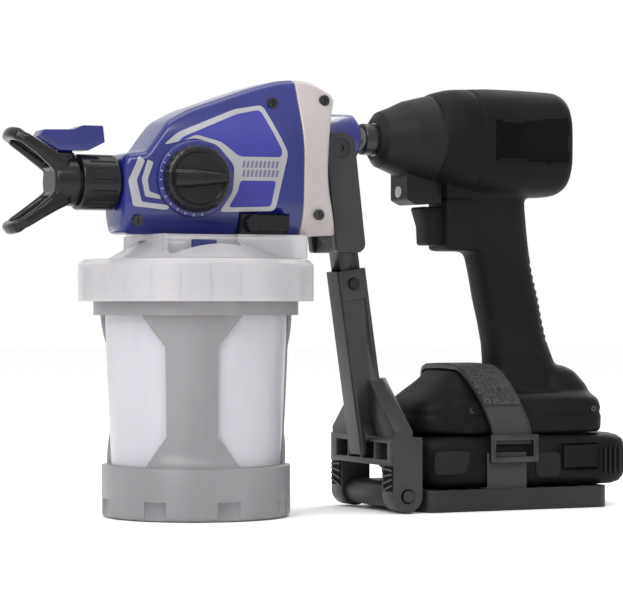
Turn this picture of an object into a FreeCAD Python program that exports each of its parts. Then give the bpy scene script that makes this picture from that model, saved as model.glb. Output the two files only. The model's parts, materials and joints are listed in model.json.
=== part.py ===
"""Handheld airless paint sprayer driven by a pistol-grip impact driver.

Frame: millimetres, +Z up, origin on the floor at the centre of the paint cup's base. The spray leaves towards -X,
the driver sits on the +X side, and "near" is the -Y half. Each node is one STEP file in parts/.
"""
import FreeCAD
import Part
import math
import os

V = FreeCAD.Vector

# ---- driving dimensions -------------------------------------------------------------------------------------------
FIT = 0.3             # gap between pieces that move past each other
RUN = 0.05            # radial running gap of a pin or shaft in its bore
WALL = 2.4            # moulded wall of the casings

# paint cup
FLOOR_T = 3.0
BASE_R = 55.6         # foot ring of the cup support
BASE_H = 30.0
BODY_R_LOW = 52.6     # cup support body, at the foot ring
BODY_R_TOP = 56.4     # and under the rim
RIM_R = 60.4
RIM_Z = 118.0
NECK_TOP_Z = 142.0
LINER_T = 1.0
LINER_RIM_T = 1.5
PILLARS = 3
PILLAR_DEG = 32.0     # width of a pillar, as an angle round the cup
PILLAR_AZIMUTH = -115.0
WINDOW_CHAMFER_DEG = 15.0
WINDOW_CHAMFER_Z = 18.0
CASTELLATIONS = 8

# cover and lock ring
GASKET_T = 1.5
RING_R = 69.5
RING_LOW_Z = 126.0
RING_TOP_Z = 150.6
RING_LIP_R = 51.6
RING_LIP_T = 2.9
COVER_FLANGE_T = 2.6
DECK_Z = 165.0        # top of the cover, on which the pump stands
DECK_X = (-34.0, 60.0)
DECK_HALF_W = 32.5
RECESS_X = (-31.0, 13.0)
RECESS_DEPTH = 5.0
LATCH_X = (-14.0, 0.0)
LATCH_Z = (155.2, 161.6)
LATCH_TRAVEL = 3.0
TUBE_X = -24.0        # suction tube
TUBE_R = 5.0
TUBE_BORE_R = 3.5

# pump casing
SPRAY_Z = 195.0       # height of the spray axis
DRIVE_Z = 224.5       # height of the drive axis
FRONT_X = -52.0
FRONT_HALF_W = 18.0
PART_X = 55.5         # where the front casing meets the rear one, at mid height
PART_HALF_W = 33.0
PART_LEAN = 0.02      # the joint line leans back as it rises
TAIL_X = 84.0
TAIL_HALF_W = 30.0
CASING_TOP_Z = 257.5
CAP_R = 14.5          # drive cap
CAP_X = (65.0, 102.0)

# pressure knob
KNOB_AT = (-10.6, 197.0)
KNOB_R = 19.7
KNOB_FACE_R = 17.6
KNOB_DEPTH = 12.0
KNOB_BOSS_R = 22.5
KNOB_BOSS_H = 3.0
STEM_R = 3.5

# spray head
BARREL_R = 11.0
BARREL_FRONT_X = -69.3
NUT_R = 16.2
NUT_X = (-75.5, -52.6)
GUARD_R = 14.6
GUARD_FRONT_X = -92.0
WING_HALF_W = 17.5
TIP_X = -82.0
TIP_R = 4.5

# pump drive
MODULE = 1.0
PINION_TEETH = 15
GEAR_TEETH = 44
GEAR_X = (38.0, 45.0)
PISTONS = 3
PISTON_CIRCLE_R = 10.0
PISTON_R = 4.0
STROKE = 4.0
SWASH_R = 17.0
SWASH_T = 5.0
SHAFT_R = 5.0
HEX_AF = 6.35

# arm that carries the driver
PIVOT = (85.5, 217.5)       # yoke pivot, x and z
AXLE = (118.5, 10.0)        # cradle axle, x and z
LEG_TILT = 8.25              # lean of the leg from upright
LEG_TOP = (96.5, 155.5)     # a point on the leg's axis, where the strut leaves the yoke
YOKE_INNER_Y = 14.6
YOKE_T = 5.5
YOKE_BOSS_R = 9.5
PIN_R = 4.0
STRUT = (13.0, 13.0)        # depth and width
LEG = (19.0, 18.0)
LEG_START = 10.5             # distances down the leg from LEG_TOP
LEG_END = 122.0
STRUT_END = 62.0
LUG_IN_Y = 28.0
LUG_OUT_Y = 43.0
LUG_R = 9.6
AXLE_R = 3.75
AXLE_GAP = 0.6              # the axle's seat stays loose: it closes the linkage

# cradle
TRAY_X = (131.0, 258.0)
TRAY_HALF_W = 43.0
TRAY_TOP_Z = 12.9
TRAY_T = 2.5
STRAP_X = (174.0, 201.0)
STRAP_T = 2.2

# driver
HEAD_R = 32.0
HEAD_SPLIT_X = 158.0        # nose case ends, casing halves begin
HEAD_END_X = 241.5
FOOT_LOW_Z = 45.0
CELL_R = 9.0
CELL_L = 62.0
GEARBOX_X = (164.1, 174.0)


# ---- shape helpers ------------------------------------------------------------------------------------------------
def box(x, y, z):
    return Part.makeBox(x[1] - x[0], y[1] - y[0], z[1] - z[0], V(x[0], y[0], z[0]))


def rod(axis, at, span, radius):
    """Cylinder along X, Y or Z. at gives the two other coordinates, in order."""
    length = span[1] - span[0]
    if axis == "X":
        return Part.makeCylinder(radius, length, V(span[0], at[0], at[1]), V(1, 0, 0))
    if axis == "Y":
        return Part.makeCylinder(radius, length, V(at[0], span[0], at[1]), V(0, 1, 0))
    return Part.makeCylinder(radius, length, V(at[0], at[1], span[0]), V(0, 0, 1))


def pipe(axis, at, span, outer, inner):
    return rod(axis, at, span, outer).cut(rod(axis, at, (span[0] - 1, span[1] + 1), inner))


def rounded_wire(corners, radii):
    """Closed wire through 3-D corners, with a tangent arc of the given radius at each one (0 keeps it sharp)."""
    count = len(corners)
    if not isinstance(radii, (list, tuple)):
        radii = [radii] * count
    ins, outs, mids = [], [], []
    for i in range(count):
        here, before, after = corners[i], corners[i - 1], corners[(i + 1) % count]
        a, b = (before - here).normalize(), (after - here).normalize()
        half = a.getAngle(b) / 2
        back = radii[i] / math.tan(half) if radii[i] else 0.0
        ins.append(here + a * back)
        outs.append(here + b * back)
        bisector = (a + b).normalize()
        mids.append(here + bisector * (radii[i] / math.sin(half) - radii[i]))
    edges = []
    for i in range(count):
        if radii[i]:
            edges.append(Part.Arc(ins[i], mids[i], outs[i]).toShape())
        start, end = outs[i], ins[(i + 1) % count]
        if (end - start).Length > 1e-6:
            edges.append(Part.LineSegment(start, end).toShape())
    return Part.Wire(edges)


def flat_points(points, plane, level):
    """Places 2-D points on the plane at that level: "XZ" at a Y, "YZ" at an X, "XY" at a Z."""
    if plane == "XZ":
        return [V(a, level, b) for a, b in points]
    if plane == "YZ":
        return [V(level, a, b) for a, b in points]
    return [V(a, b, level) for a, b in points]


def prism(points, radii, plane, span, inset=0.0):
    """Extrudes a rounded outline across the plane over span, first moved in by inset."""
    wire = rounded_wire(flat_points(points, plane, span[0]), radii)
    if inset:
        wire = wire.makeOffset2D(-inset)
    along = {"XZ": V(0, 1, 0), "YZ": V(1, 0, 0), "XY": V(0, 0, 1)}[plane]
    return Part.Face(wire).extrude(along * (span[1] - span[0]))


def lathe(points, axis="Z", at=(0.0, 0.0), degrees=360.0):
    """Turns an outline of (radius, height) points about an axis through at."""
    if axis == "Z":
        corners = [V(at[0] + r, at[1], h) for r, h in points]
        base, direction = V(at[0], at[1], 0), V(0, 0, 1)
    else:
        corners = [V(h, at[0], at[1] + r) for r, h in points]
        base, direction = V(0, at[0], at[1]), V(1, 0, 0)
    face = Part.Face(Part.makePolygon(corners + [corners[0]]))
    return face.revolve(base, direction, degrees)


def slab(centre_x, half_x, half_y, z, radius):
    """Rounded-rectangle wire, level at z, for lofts."""
    corners = [(centre_x - half_x, -half_y), (centre_x + half_x, -half_y),
               (centre_x + half_x, half_y), (centre_x - half_x, half_y)]
    return rounded_wire(flat_points(corners, "XY", z), radius)


def edges_where(shape, test):
    return [e for e in shape.Edges if test(e.BoundBox)]


def polar(radius, degrees):
    return radius * math.cos(math.radians(degrees)), radius * math.sin(math.radians(degrees))


def gear_teeth(teeth, module):
    """Outline points (y, z) of a gear about the origin, first tooth centred on +Z, thinned for backlash."""
    pitch_r = teeth * module / 2
    root_r, tip_r = pitch_r - 1.2 * module, pitch_r + 0.85 * module
    step = 360.0 / teeth
    points = []
    for i in range(teeth):
        middle = 90.0 + i * step
        for radius, share in ((root_r, 0.33), (pitch_r, 0.22), (tip_r, 0.10)):
            points.append(polar(radius, middle - share * step))
        for radius, share in ((tip_r, 0.10), (pitch_r, 0.22), (root_r, 0.33)):
            points.append(polar(radius, middle + share * step))
    return points


def gear(teeth, module, x, at, turn=0.0):
    """Spur gear along X with its axis at (y, z) = at, turned by turn degrees."""
    corners = [V(x[0], at[0] + y, at[1] + z) for y, z in gear_teeth(teeth, module)]
    body = Part.Face(Part.makePolygon(corners + [corners[0]])).extrude(V(x[1] - x[0], 0, 0))
    body.rotate(V(0, at[0], at[1]), V(1, 0, 0), turn)
    return body


def group(solids):
    return Part.makeCompound(solids)


def halves(shape):
    """Near (-Y) and far (+Y) parts of a casing split on its middle plane."""
    reach = 400.0
    near = shape.common(box((-reach, reach), (-reach, 0), (-reach, reach)))
    far = shape.common(box((-reach, reach), (0, reach), (-reach, reach)))
    return near, far


# ---- paint cup ----------------------------------------------------------------------------------------------------
def body_radius(z):
    share = (z - BASE_H) / (RIM_Z - BASE_H)
    return BODY_R_LOW + (BODY_R_TOP - BODY_R_LOW) * share


def cup_windows():
    """Tall chamfered openings between the pillars, as wedges round the cup."""
    low, high = BASE_H + 0.5, RIM_Z
    half = 360.0 / PILLARS / 2 - PILLAR_DEG / 2
    cutters = []
    for i in range(PILLARS):
        middle = PILLAR_AZIMUTH + 360.0 / PILLARS * (i + 0.5)
        outline = [(-half + WINDOW_CHAMFER_DEG, low), (half - WINDOW_CHAMFER_DEG, low),
                   (half, low + WINDOW_CHAMFER_Z), (half, high - WINDOW_CHAMFER_Z),
                   (half - WINDOW_CHAMFER_DEG, high), (-half + WINDOW_CHAMFER_DEG, high),
                   (-half, high - WINDOW_CHAMFER_Z), (-half, low + WINDOW_CHAMFER_Z)]
        cutters.append(wrapped_cutter(outline, middle))
    return cutters


def wrapped_cutter(outline, middle):
    """A wedge from the cup's axis outwards: each side of the outline becomes a ruled wall."""
    inner_r, outer_r = BODY_R_LOW - 12.0, RIM_R + 4.0
    steps = 6
    dense = []
    for i, (a0, z0) in enumerate(outline):
        a1, z1 = outline[(i + 1) % len(outline)]
        parts = steps if abs(a1 - a0) > 1 else 1
        for k in range(parts):
            dense.append((a0 + (a1 - a0) * k / parts, z0 + (z1 - z0) * k / parts))

    def ring(radius):
        points = []
        for a, z in dense:
            x, y = polar(radius, middle + a)
            points.append(V(x, y, z))
        return points
    inside, outside = ring(inner_r), ring(outer_r)
    count = len(dense)
    faces = []
    for i in range(count):
        j = (i + 1) % count
        for tri in ((inside[i], inside[j], outside[j]), (inside[i], outside[j], outside[i])):
            faces.append(Part.Face(Part.makePolygon(list(tri) + [tri[0]])))
    for points in (inside, outside):
        mean_z = sum(p.z for p in points) / count
        x, y = polar(math.hypot(points[0].x, points[0].y), middle)
        hub = V(x, y, mean_z)
        for i in range(count):
            tri = (points[i], points[(i + 1) % count], hub)
            faces.append(Part.Face(Part.makePolygon(list(tri) + [tri[0]])))
    solid = Part.makeSolid(Part.makeShell(faces))
    if solid.Volume < 0:
        solid.reverse()
    return solid


def cup_support():
    wall = WALL
    outline = [(0, 0), (BASE_R, 0), (BASE_R, BASE_H), (body_radius(BASE_H), BASE_H),
               (BODY_R_TOP, RIM_Z), (RIM_R, RIM_Z), (RIM_R, NECK_TOP_Z), (RIM_R - 3.0, NECK_TOP_Z),
               (RIM_R - 3.0, RIM_Z + 6.0), (BODY_R_TOP - wall, RIM_Z), (BODY_R_LOW - wall, BASE_H),
               (BODY_R_LOW - wall, FLOOR_T), (0, FLOOR_T)]
    body = lathe(outline)
    rim_edges = edges_where(body, lambda b: b.ZLength < 0.01 and b.ZMax < 0.01 and abs(b.XMax - BASE_R) < 0.1)
    body = body.makeFillet(2.5, rim_edges)
    for cutter in cup_windows():
        body = body.cut(cutter)
    notch_deg = 360.0 / CASTELLATIONS
    notch_h = 11.0
    for i in range(CASTELLATIONS):
        notch = box((BASE_R - 1.1, BASE_R + 2), (-7.0, 7.0), (-1, notch_h))
        notch.rotate(V(0, 0, 0), V(0, 0, 1), PILLAR_AZIMUTH + (i + 0.5) * notch_deg)
        body = body.cut(notch)
    lugs = []
    for i in range(3):
        lug = lathe([(RIM_R - 0.5, 132.5), (RIM_R + 1.6, 132.5), (RIM_R + 1.6, 136), (RIM_R - 0.5, 137)], degrees=30)
        lug.rotate(V(0, 0, 0), V(0, 0, 1), 120.0 * i)
        lugs.append(lug)
    return body.fuse(lugs).removeSplitter()


def cup_liner():
    gap, t = FIT, LINER_T
    low_r, top_r = BODY_R_LOW - WALL - gap, BODY_R_TOP - WALL - gap
    neck_r = RIM_R - 3.0 - gap
    low_z = FLOOR_T + 0.2
    outline = [(0, low_z), (low_r - 4, low_z), (low_r, low_z + 4), (low_r, BASE_H), (top_r, RIM_Z),
               (neck_r, RIM_Z + 6.5), (neck_r, NECK_TOP_Z), (RIM_R - 0.2, NECK_TOP_Z),
               (RIM_R - 0.2, NECK_TOP_Z + LINER_RIM_T), (neck_r - t, NECK_TOP_Z + LINER_RIM_T),
               (neck_r - t, RIM_Z + 7), (top_r - t, RIM_Z + 0.4), (low_r - t, BASE_H), (low_r - t, low_z + 4.5),
               (low_r - 4.5, low_z + t), (0, low_z + t)]
    return lathe(outline)


def gasket_low():
    return NECK_TOP_Z + LINER_RIM_T


def cover_low():
    return gasket_low() + GASKET_T


def cup_gasket():
    low = gasket_low()
    outer = RIM_R - 0.4
    return lathe([(outer - 6, low), (outer, low), (outer, low + GASKET_T), (outer - 6, low + GASKET_T)])


def cup_cover():
    """Clear dome with the deck that the pump clips to."""
    t = WALL
    low = cover_low()
    flange_top = low + COVER_FLANGE_T
    throat_r = RING_LIP_R - FIT
    shoulder_z = RING_TOP_Z + 0.8
    dome_r, dome_z = 33.0, DECK_Z - 3.0
    outer, inner = RIM_R - 0.4, throat_r - t - 1
    outline = [(inner, low), (outer, low), (outer, flange_top), (throat_r, flange_top),
               (throat_r, shoulder_z), (dome_r, dome_z), (0, dome_z), (0, dome_z - t), (dome_r - 1, dome_z - t),
               (inner, shoulder_z - t)]
    dome = lathe(outline)
    deck_low = RING_TOP_Z + 0.6
    x0, x1 = DECK_X
    w = DECK_HALF_W
    plan = [(x0, -w), (x1, -w), (x1, w), (x0, w)]
    deck = prism(plan, 7.0, "XY", (deck_low, DECK_Z))
    pocket = prism(plan, 7.0, "XY", (deck_low - 1, DECK_Z - t), inset=t + RECESS_DEPTH)
    cavity = lathe([(0, low - 1), (inner, low - 1), (inner, shoulder_z - t), (dome_r - 1, dome_z - t),
                    (0, dome_z - t)])
    body = dome.fuse(deck.cut(pocket)).cut(cavity)
    recess_z = (LATCH_Z[0] - 1.4, DECK_Z + 1)
    for side in (-1, 1):
        lining_y = sorted((side * (w - RECESS_DEPTH - t), side * (w - 0.5)))
        body = body.fuse(box((RECESS_X[0] - t, RECESS_X[1] + t), lining_y, (recess_z[0] - t, DECK_Z - 0.5)))
    slot_x = (LATCH_X[0] - FIT, LATCH_X[1] + FIT)
    slot_z = (LATCH_Z[0] - FIT, LATCH_Z[1] + FIT)
    slot_end = -w + RECESS_DEPTH + WALL + 8
    pocket_wall = box((slot_x[0] - t, slot_x[1] + t), (-w + RECESS_DEPTH, slot_end + t), (slot_z[0] - t, slot_z[1] + t))
    body = body.fuse(pocket_wall)
    for side in (-1, 1):
        recess_y = sorted((side * (w - RECESS_DEPTH), side * (w + 5)))
        body = body.cut(box(RECESS_X, recess_y, recess_z))
    body = body.cut(box(slot_x, (-w - 1, slot_end), slot_z))
    bore = rod("Z", (TUBE_X, 0), (low - 5, DECK_Z + 5), TUBE_R + FIT)
    body = body.cut(bore).removeSplitter()
    return body


def latch_button():
    """Release tab: a blue head in the recess and a tongue that reaches inside the deck."""
    w = DECK_HALF_W
    head = box(LATCH_X, (-w + 0.6, -w + RECESS_DEPTH + WALL + 4.0), LATCH_Z)
    front = edges_where(head, lambda b: b.YLength < 0.01 and b.YMax < -w + 1)
    return head.makeFillet(0.8, front)


def suction_tube():
    top = SPRAY_Z - 16.0
    return pipe("Z", (TUBE_X, 0), (14.0, top), TUBE_R, TUBE_BORE_R)


def inlet_strainer():
    body = lathe([(TUBE_R + RUN, 13), (9, 13), (9, 19), (TUBE_R + RUN, 19)], at=(TUBE_X, 0))
    basket = lathe([(0, 6), (9, 6), (9, 13.5), (7.5, 13.5), (7.5, 7.5), (0, 7.5)], at=(TUBE_X, 0))
    body = body.fuse(basket)
    for i in range(8):
        slot = box((6.0, 11.0), (-1.2, 1.2), (8.0, 12.5))
        slot.rotate(V(0, 0, 0), V(0, 0, 1), 45.0 * i)
        slot.translate(V(TUBE_X, 0, 0))
        body = body.cut(slot)
    return body.removeSplitter()


def lock_ring():
    """Cap ring: outer skirt, inner skirt with bayonet ramps, and the lip that holds the cover down."""
    low, top = RING_LOW_Z, RING_TOP_Z
    inner_r = RIM_R + 2.0
    plate = top - RING_LIP_T
    outline = [(RING_LIP_R, plate), (RING_LIP_R, top), (RING_R - 3, top), (RING_R, top - 3), (RING_R, low),
               (RING_R - 2.4, low), (RING_R - 2.4, plate - 1.5), (inner_r + 2.2, plate - 1.5), (inner_r + 2.2, low + 1),
               (inner_r, low + 1), (inner_r, plate)]
    body = lathe(outline)
    ramps = []
    for i in range(3):
        ramp = lathe([(RIM_R + FIT, low + 2), (inner_r + 0.5, low + 1.5), (inner_r + 0.5, low + 5.5),
                      (RIM_R + FIT, low + 5)], degrees=28)
        ramp.rotate(V(0, 0, 0), V(0, 0, 1), 120.0 * i + 1)
        ramps.append(ramp)
    ribs = []
    rib_count = 24
    for i in range(rib_count):
        rib = box((inner_r + 1.8, RING_R - 2.0), (-0.7, 0.7), (low + 1, plate - 1))
        rib.rotate(V(0, 0, 0), V(0, 0, 1), 360.0 / rib_count * i)
        ribs.append(rib)
    return body.fuse(ramps + ribs).removeSplitter()


# ---- pump casing --------------------------------------------------------------------------------------------------
def half_width(x):
    if x <= PART_X:
        return FRONT_HALF_W + (PART_HALF_W - FRONT_HALF_W) * (x - FRONT_X) / (PART_X - FRONT_X)
    return PART_HALF_W + (TAIL_HALF_W - PART_HALF_W) * (x - PART_X) / (TAIL_X - PART_X)


SIDE_FALL = [(7.0, DECK_Z), (3.2, DECK_Z + 6), (0.8, DECK_Z + 13), (0.0, DECK_Z + 20), (0.0, 208.0),
             (0.7, 215.0), (2.4, 222.0), (5.2, 229.0)]     # how far the side falls back from its widest, at each z
TOP_FALL = 0.46         # and how fast it goes on falling back above that


def casing_section(x, grow, top):
    """Egg-shaped section of the casing at x, in flats: widest at mid height, narrow at the top."""
    w = half_width(x) + grow
    right = [(w - fall, max(z, DECK_Z - grow)) for fall, z in SIDE_FALL]
    last_fall, last_z = SIDE_FALL[-1]
    right.append((w - last_fall - TOP_FALL * (top - last_z), top))
    return flat_points(right + [(-y, z) for y, z in reversed(right)], "YZ", x)


def flat_sided(start, end):
    """Solid between two sections with the same number of corners, all its faces flat."""
    faces = [Part.Face(Part.makePolygon(list(reversed(start)) + [start[-1]])),
             Part.Face(Part.makePolygon(end + [end[0]]))]
    for i in range(len(start)):
        j = (i + 1) % len(start)
        faces.append(Part.Face(Part.makePolygon([start[i], start[j], end[j], end[i], start[i]])))
    body = Part.Solid(Part.Shell(faces))
    if body.Volume < 0:
        body.reverse()
    return body


def casing_block(grow):
    """Front and rear casing in one, before it is trimmed to its side outline."""
    nose, joint = (FRONT_X - 8, 236.0), (PART_X, CASING_TOP_Z + 6)
    front = flat_sided(casing_section(nose[0], grow, nose[1]), casing_section(joint[0], grow, joint[1]))
    rear = flat_sided(casing_section(joint[0], grow, joint[1]), casing_section(TAIL_X + 4, grow, joint[1]))
    return front.fuse(rear)


SIDE_OUTLINE = [(FRONT_X, DECK_Z + 6), (FRONT_X, 211.0), (-38.0, 213.0), (-24.0, 231.0), (-10.0, 238.6),
                (28.0, 251.7), (50.0, CASING_TOP_Z), (64.0, CASING_TOP_Z), (84.0, 249.0)]
SIDE_RADII = [5, 4, 9, 12, 18, 30, 10, 10, 0]
SCOOP = [(84.0, 249.0), (72.5, 208.0), (79.5, 168.0)]


def side_prism(inset, span):
    """Side outline of the whole casing: rising nose, crest, and the scooped back, extruded along Y."""
    radii = SIDE_RADII[:-1] + [0]
    corners = SIDE_OUTLINE + [SCOOP[2], (77.0, DECK_Z), (FRONT_X + 4.0, DECK_Z)]
    radii = radii + [0, 2, 3]
    plane_y = span[0]
    count = len(corners)
    points = flat_points(corners, "XZ", plane_y)
    start = SIDE_OUTLINE[-1]
    rounded = rounded_wire(points, radii)
    keep = []
    for edge in rounded.Edges:
        b = edge.BoundBox
        if b.XMin > 79 and b.ZLength > 60:
            continue
        keep.append(edge)
    arc = Part.Arc(V(start[0], plane_y, start[1]), V(SCOOP[1][0], plane_y, SCOOP[1][1]),
                   V(SCOOP[2][0], plane_y, SCOOP[2][1])).toShape()
    wire = Part.Wire(Part.__sortEdges__(keep + [arc]))
    if inset:
        wire = wire.makeOffset2D(-inset)
    return Part.Face(wire).extrude(V(0, span[1] - span[0], 0))


def casing_solid(grow):
    """Solid casing moved out by grow (a wall's inside has a negative one)."""
    return casing_block(grow).common(side_prism(-grow, (-60.0, 60.0)))


def parting_x(z):
    return PART_X + PART_LEAN * (z - 207.0)


def ahead_of_parting(gap):
    """Everything on the nozzle side of the leaning joint line."""
    low, high = DECK_Z - 20, CASING_TOP_Z + 20
    outline = [(FRONT_X - 60, low), (parting_x(low) - gap, low), (parting_x(high) - gap, high), (FRONT_X - 60, high)]
    return prism(outline, 0, "XZ", (-70.0, 70.0))


def knob_frame():
    """Centre of the knob's base on the casing wall, and the outward normal there."""
    slope = math.atan((PART_HALF_W - FRONT_HALF_W) / (PART_X - FRONT_X))
    normal = V(-math.sin(slope), -math.cos(slope), 0)
    centre = V(KNOB_AT[0], -half_width(KNOB_AT[0]), KNOB_AT[1])
    return centre, normal


def along_knob(radius, start, end):
    centre, normal = knob_frame()
    return Part.makeCylinder(radius, end - start, centre + normal * start, normal)


VALVE_X = (17.0, 45.0)
VALVE_Z = (166.0, 177.0)


def pump_casings():
    """Front casing halves (blue) and rear casing halves (white), hollow, with their openings."""
    outer = casing_solid(0.0)
    inner = casing_solid(-WALL)
    boss = along_knob(KNOB_BOSS_R, -6.0, KNOB_BOSS_H)
    boss_rim = [e for e in boss.Edges if e.BoundBox.YMax < knob_frame()[0].y + 6 and e.Closed]
    boss = boss.makeFillet(1.0, boss_rim[:1])
    shell = outer.fuse(boss).cut(inner)
    shell = shell.cut(along_knob(STEM_R + 2.0, -30.0, 10.0))
    shell = shell.cut(rod("X", (0, SPRAY_Z), (FRONT_X - 5, FRONT_X + 12), BARREL_R + 1.5))
    shell = shell.cut(rod("Z", (TUBE_X, 0), (DECK_Z - 5, DECK_Z + 6), TUBE_R + FIT))
    shell = shell.cut(rod("X", (0, DRIVE_Z), (PART_X + 8, TAIL_X + 5), CAP_R + RUN))
    shell = shell.cut(box((VALVE_X[0] - FIT, VALVE_X[1] + FIT), (-60.0, -20.0), (DECK_Z - 5, VALVE_Z[1] + FIT)))
    for x, z in SCREWS_AT:
        shell = shell.cut(rod("Y", (x, z), (-60, 60), 2.1))
    front = shell.common(ahead_of_parting(0.1))
    rear = shell.cut(ahead_of_parting(-0.1))
    return halves(front) + halves(rear)


SCREWS_AT = [(-44.0, 172.5), (40.0, 243.0), (65.0, 177.0), (74.0, 245.5)]


def casing_screws():
    """Cross-head screws through each half of the casings."""
    screws = []
    for x, z in SCREWS_AT:
        outer = casing_depth(x, z)
        body = rod("Y", (x, z), (-outer - 0.4, outer + 0.4), 1.9)
        for side in (-1, 1):
            head = Part.makeCylinder(3.2, 1.4, V(x, side * (outer + 0.1), z), V(0, side, 0))
            cross = box((x - 2.0, x + 2.0), sorted((side * (outer + 0.7), side * (outer + 3))), (z - 0.4, z + 0.4))
            cross = cross.fuse(box((x - 0.4, x + 0.4), sorted((side * (outer + 0.7), side * (outer + 3))),
                                   (z - 2.0, z + 2.0)))
            body = body.fuse(head.cut(cross))
        screws.append(body.removeSplitter())
    return group(screws)


def casing_depth(x, z):
    """Half width of the outer casing at a point of its side, measured on the solid."""
    probe = rod("Y", (x, z), (0, 60.0), 3.2)
    return casing_solid(0.0).common(probe).optimalBoundingBox().YMax


def drive_cap():
    """Barrel at the back that carries the input bearings and the yoke's pivot bosses."""
    x0, x1 = CAP_X
    body = rod("X", (0, DRIVE_Z), (x0, x1), CAP_R)
    nose = edges_where(body, lambda b: b.XLength < 0.01 and b.XMin > x1 - 0.1)
    body = body.makeFillet(2.5, nose)
    flange = pipe("X", (0, DRIVE_Z), (x0 - 3.0, x0), CAP_R + 3.0, CAP_R - 2)
    y = YOKE_INNER_Y - FIT
    boss = rod("Y", PIVOT, (-y, y), 6.5)
    body = body.fuse([flange, boss])
    body = body.cut(rod("X", (0, DRIVE_Z), (x0 - 4, x1 - 3.0), CAP_R - 5.0))
    body = body.cut(rod("X", (0, DRIVE_Z), (x0 - 4, x1 + 1), SHAFT_R + 0.5))
    body = body.cut(rod("Y", PIVOT, (-y - 1, -CAP_R + 5.5), PIN_R - 1.4))
    body = body.cut(rod("Y", PIVOT, (CAP_R - 5.5, y + 1), PIN_R - 1.4))
    return body.removeSplitter()


def pivot_screws():
    """Shoulder screws on which the yoke turns, one each side."""
    screws = []
    seat = YOKE_INNER_Y - FIT
    for side in (-1, 1):
        pin = Part.makeCylinder(PIN_R, YOKE_T - 1.6, V(PIVOT[0], side * seat, PIVOT[1]), V(0, side, 0))
        stud = Part.makeCylinder(PIN_R - 1.45, 5.1, V(PIVOT[0], side * (seat - 5.1), PIVOT[1]), V(0, side, 0))
        head = Part.makeCylinder(5.6, 1.6, V(PIVOT[0], side * (seat + YOKE_T - 1.6), PIVOT[1]), V(0, side, 0))
        hexagon = Part.Face(Part.makePolygon([V(PIVOT[0] + polar(2.2, a)[0], side * (seat + YOKE_T - 1.0),
                                                PIVOT[1] + polar(2.2, a)[1]) for a in range(0, 361, 60)]))
        head = head.cut(hexagon.extrude(V(0, side * 3, 0)))
        screws.append(pin.fuse([stud, head]).removeSplitter())
    return group(screws)


# ---- pump -------------------------------------------------------------------------------------------------------
BLOCK_X = (-36.0, 8.0)
BLOCK_HALF_W = 14.3
SWASH_FACE_X = 30.0


def pump_block():
    """Pump body: stands on the casing floor, takes paint from the tube and feeds the spray barrel."""
    x0, x1 = BLOCK_X
    body = rod("X", (0, SPRAY_Z), (x0, x1), BLOCK_HALF_W)
    foot = box((x0, x1), (-10.0, 10.0), (DECK_Z + WALL + 0.15, SPRAY_Z))
    body = body.fuse(foot)
    body = body.cut(rod("Z", (TUBE_X, 0), (DECK_Z, SPRAY_Z - 14.5), TUBE_R + RUN))
    body = body.cut(rod("Z", (TUBE_X, 0), (DECK_Z, SPRAY_Z), 2.5))
    body = body.cut(rod("X", (0, SPRAY_Z), (x0 - 1, x0 + 14), 6.0 + RUN))
    for i in range(PISTONS):
        y, z = polar(PISTON_CIRCLE_R, 90.0 + 360.0 / PISTONS * i)
        body = body.cut(rod("X", (y, SPRAY_Z + z), (x1 - 16, x1 + 1), PISTON_R + RUN))
    return body.removeSplitter()


def spray_barrel():
    """Threaded outlet barrel, with a collar inside the casing's front wall."""
    body = rod("X", (0, SPRAY_Z), (BARREL_FRONT_X, BLOCK_X[0]), BARREL_R)
    collar = pipe("X", (0, SPRAY_Z), (FRONT_X + WALL + 0.1, BLOCK_X[0]), BARREL_R + 1.8, BARREL_R)
    spigot = rod("X", (0, SPRAY_Z), (BLOCK_X[0], BLOCK_X[0] + 12), 6.0)
    body = body.fuse(spigot)
    groove_pitch, groove_depth, grooves = 1.5, 0.6, 8
    for i in range(grooves):
        x = BARREL_FRONT_X + 1.5 + i * groove_pitch
        body = body.cut(pipe("X", (0, SPRAY_Z), (x, x + groove_pitch / 2), BARREL_R + 1, BARREL_R - groove_depth))
    body = body.cut(rod("X", (0, SPRAY_Z), (BARREL_FRONT_X - 1, BARREL_FRONT_X + 26), 5.0 + RUN))
    body = body.cut(rod("X", (0, SPRAY_Z), (BARREL_FRONT_X - 1, BLOCK_X[0] + 13), 2.0)).removeSplitter()
    return group([body, collar])


def outlet_filter():
    """Perforated filter cartridge in the barrel."""
    x0 = BARREL_FRONT_X + 2
    body = pipe("X", (0, SPRAY_Z), (x0, BARREL_FRONT_X + 26), 5.0, 3.2)
    for k in range(4):
        for side in (0, 90):
            slot = box((x0 + 3 + 5 * k, x0 + 5.5 + 5 * k), (-0.8, 0.8), (-7, 7))
            slot.rotate(V(0, 0, 0), V(1, 0, 0), side)
            slot.translate(V(0, 0, SPRAY_Z))
            body = body.cut(slot)
    return body


def pistons():
    """Pump plungers, parked at the top of their stroke, with their return collars."""
    made = []
    for i in range(PISTONS):
        y, z = polar(PISTON_CIRCLE_R, 90.0 + 360.0 / PISTONS * i)
        body = rod("X", (y, SPRAY_Z + z), (BLOCK_X[1] - 14, SWASH_FACE_X - STROKE / 2 - 0.4), PISTON_R)
        head = rod("X", (y, SPRAY_Z + z), (SWASH_FACE_X - STROKE / 2 - 4, SWASH_FACE_X - STROKE / 2 - 0.4), 6.2)
        made.append(body.fuse(head).removeSplitter())
    return group(made)


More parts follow.
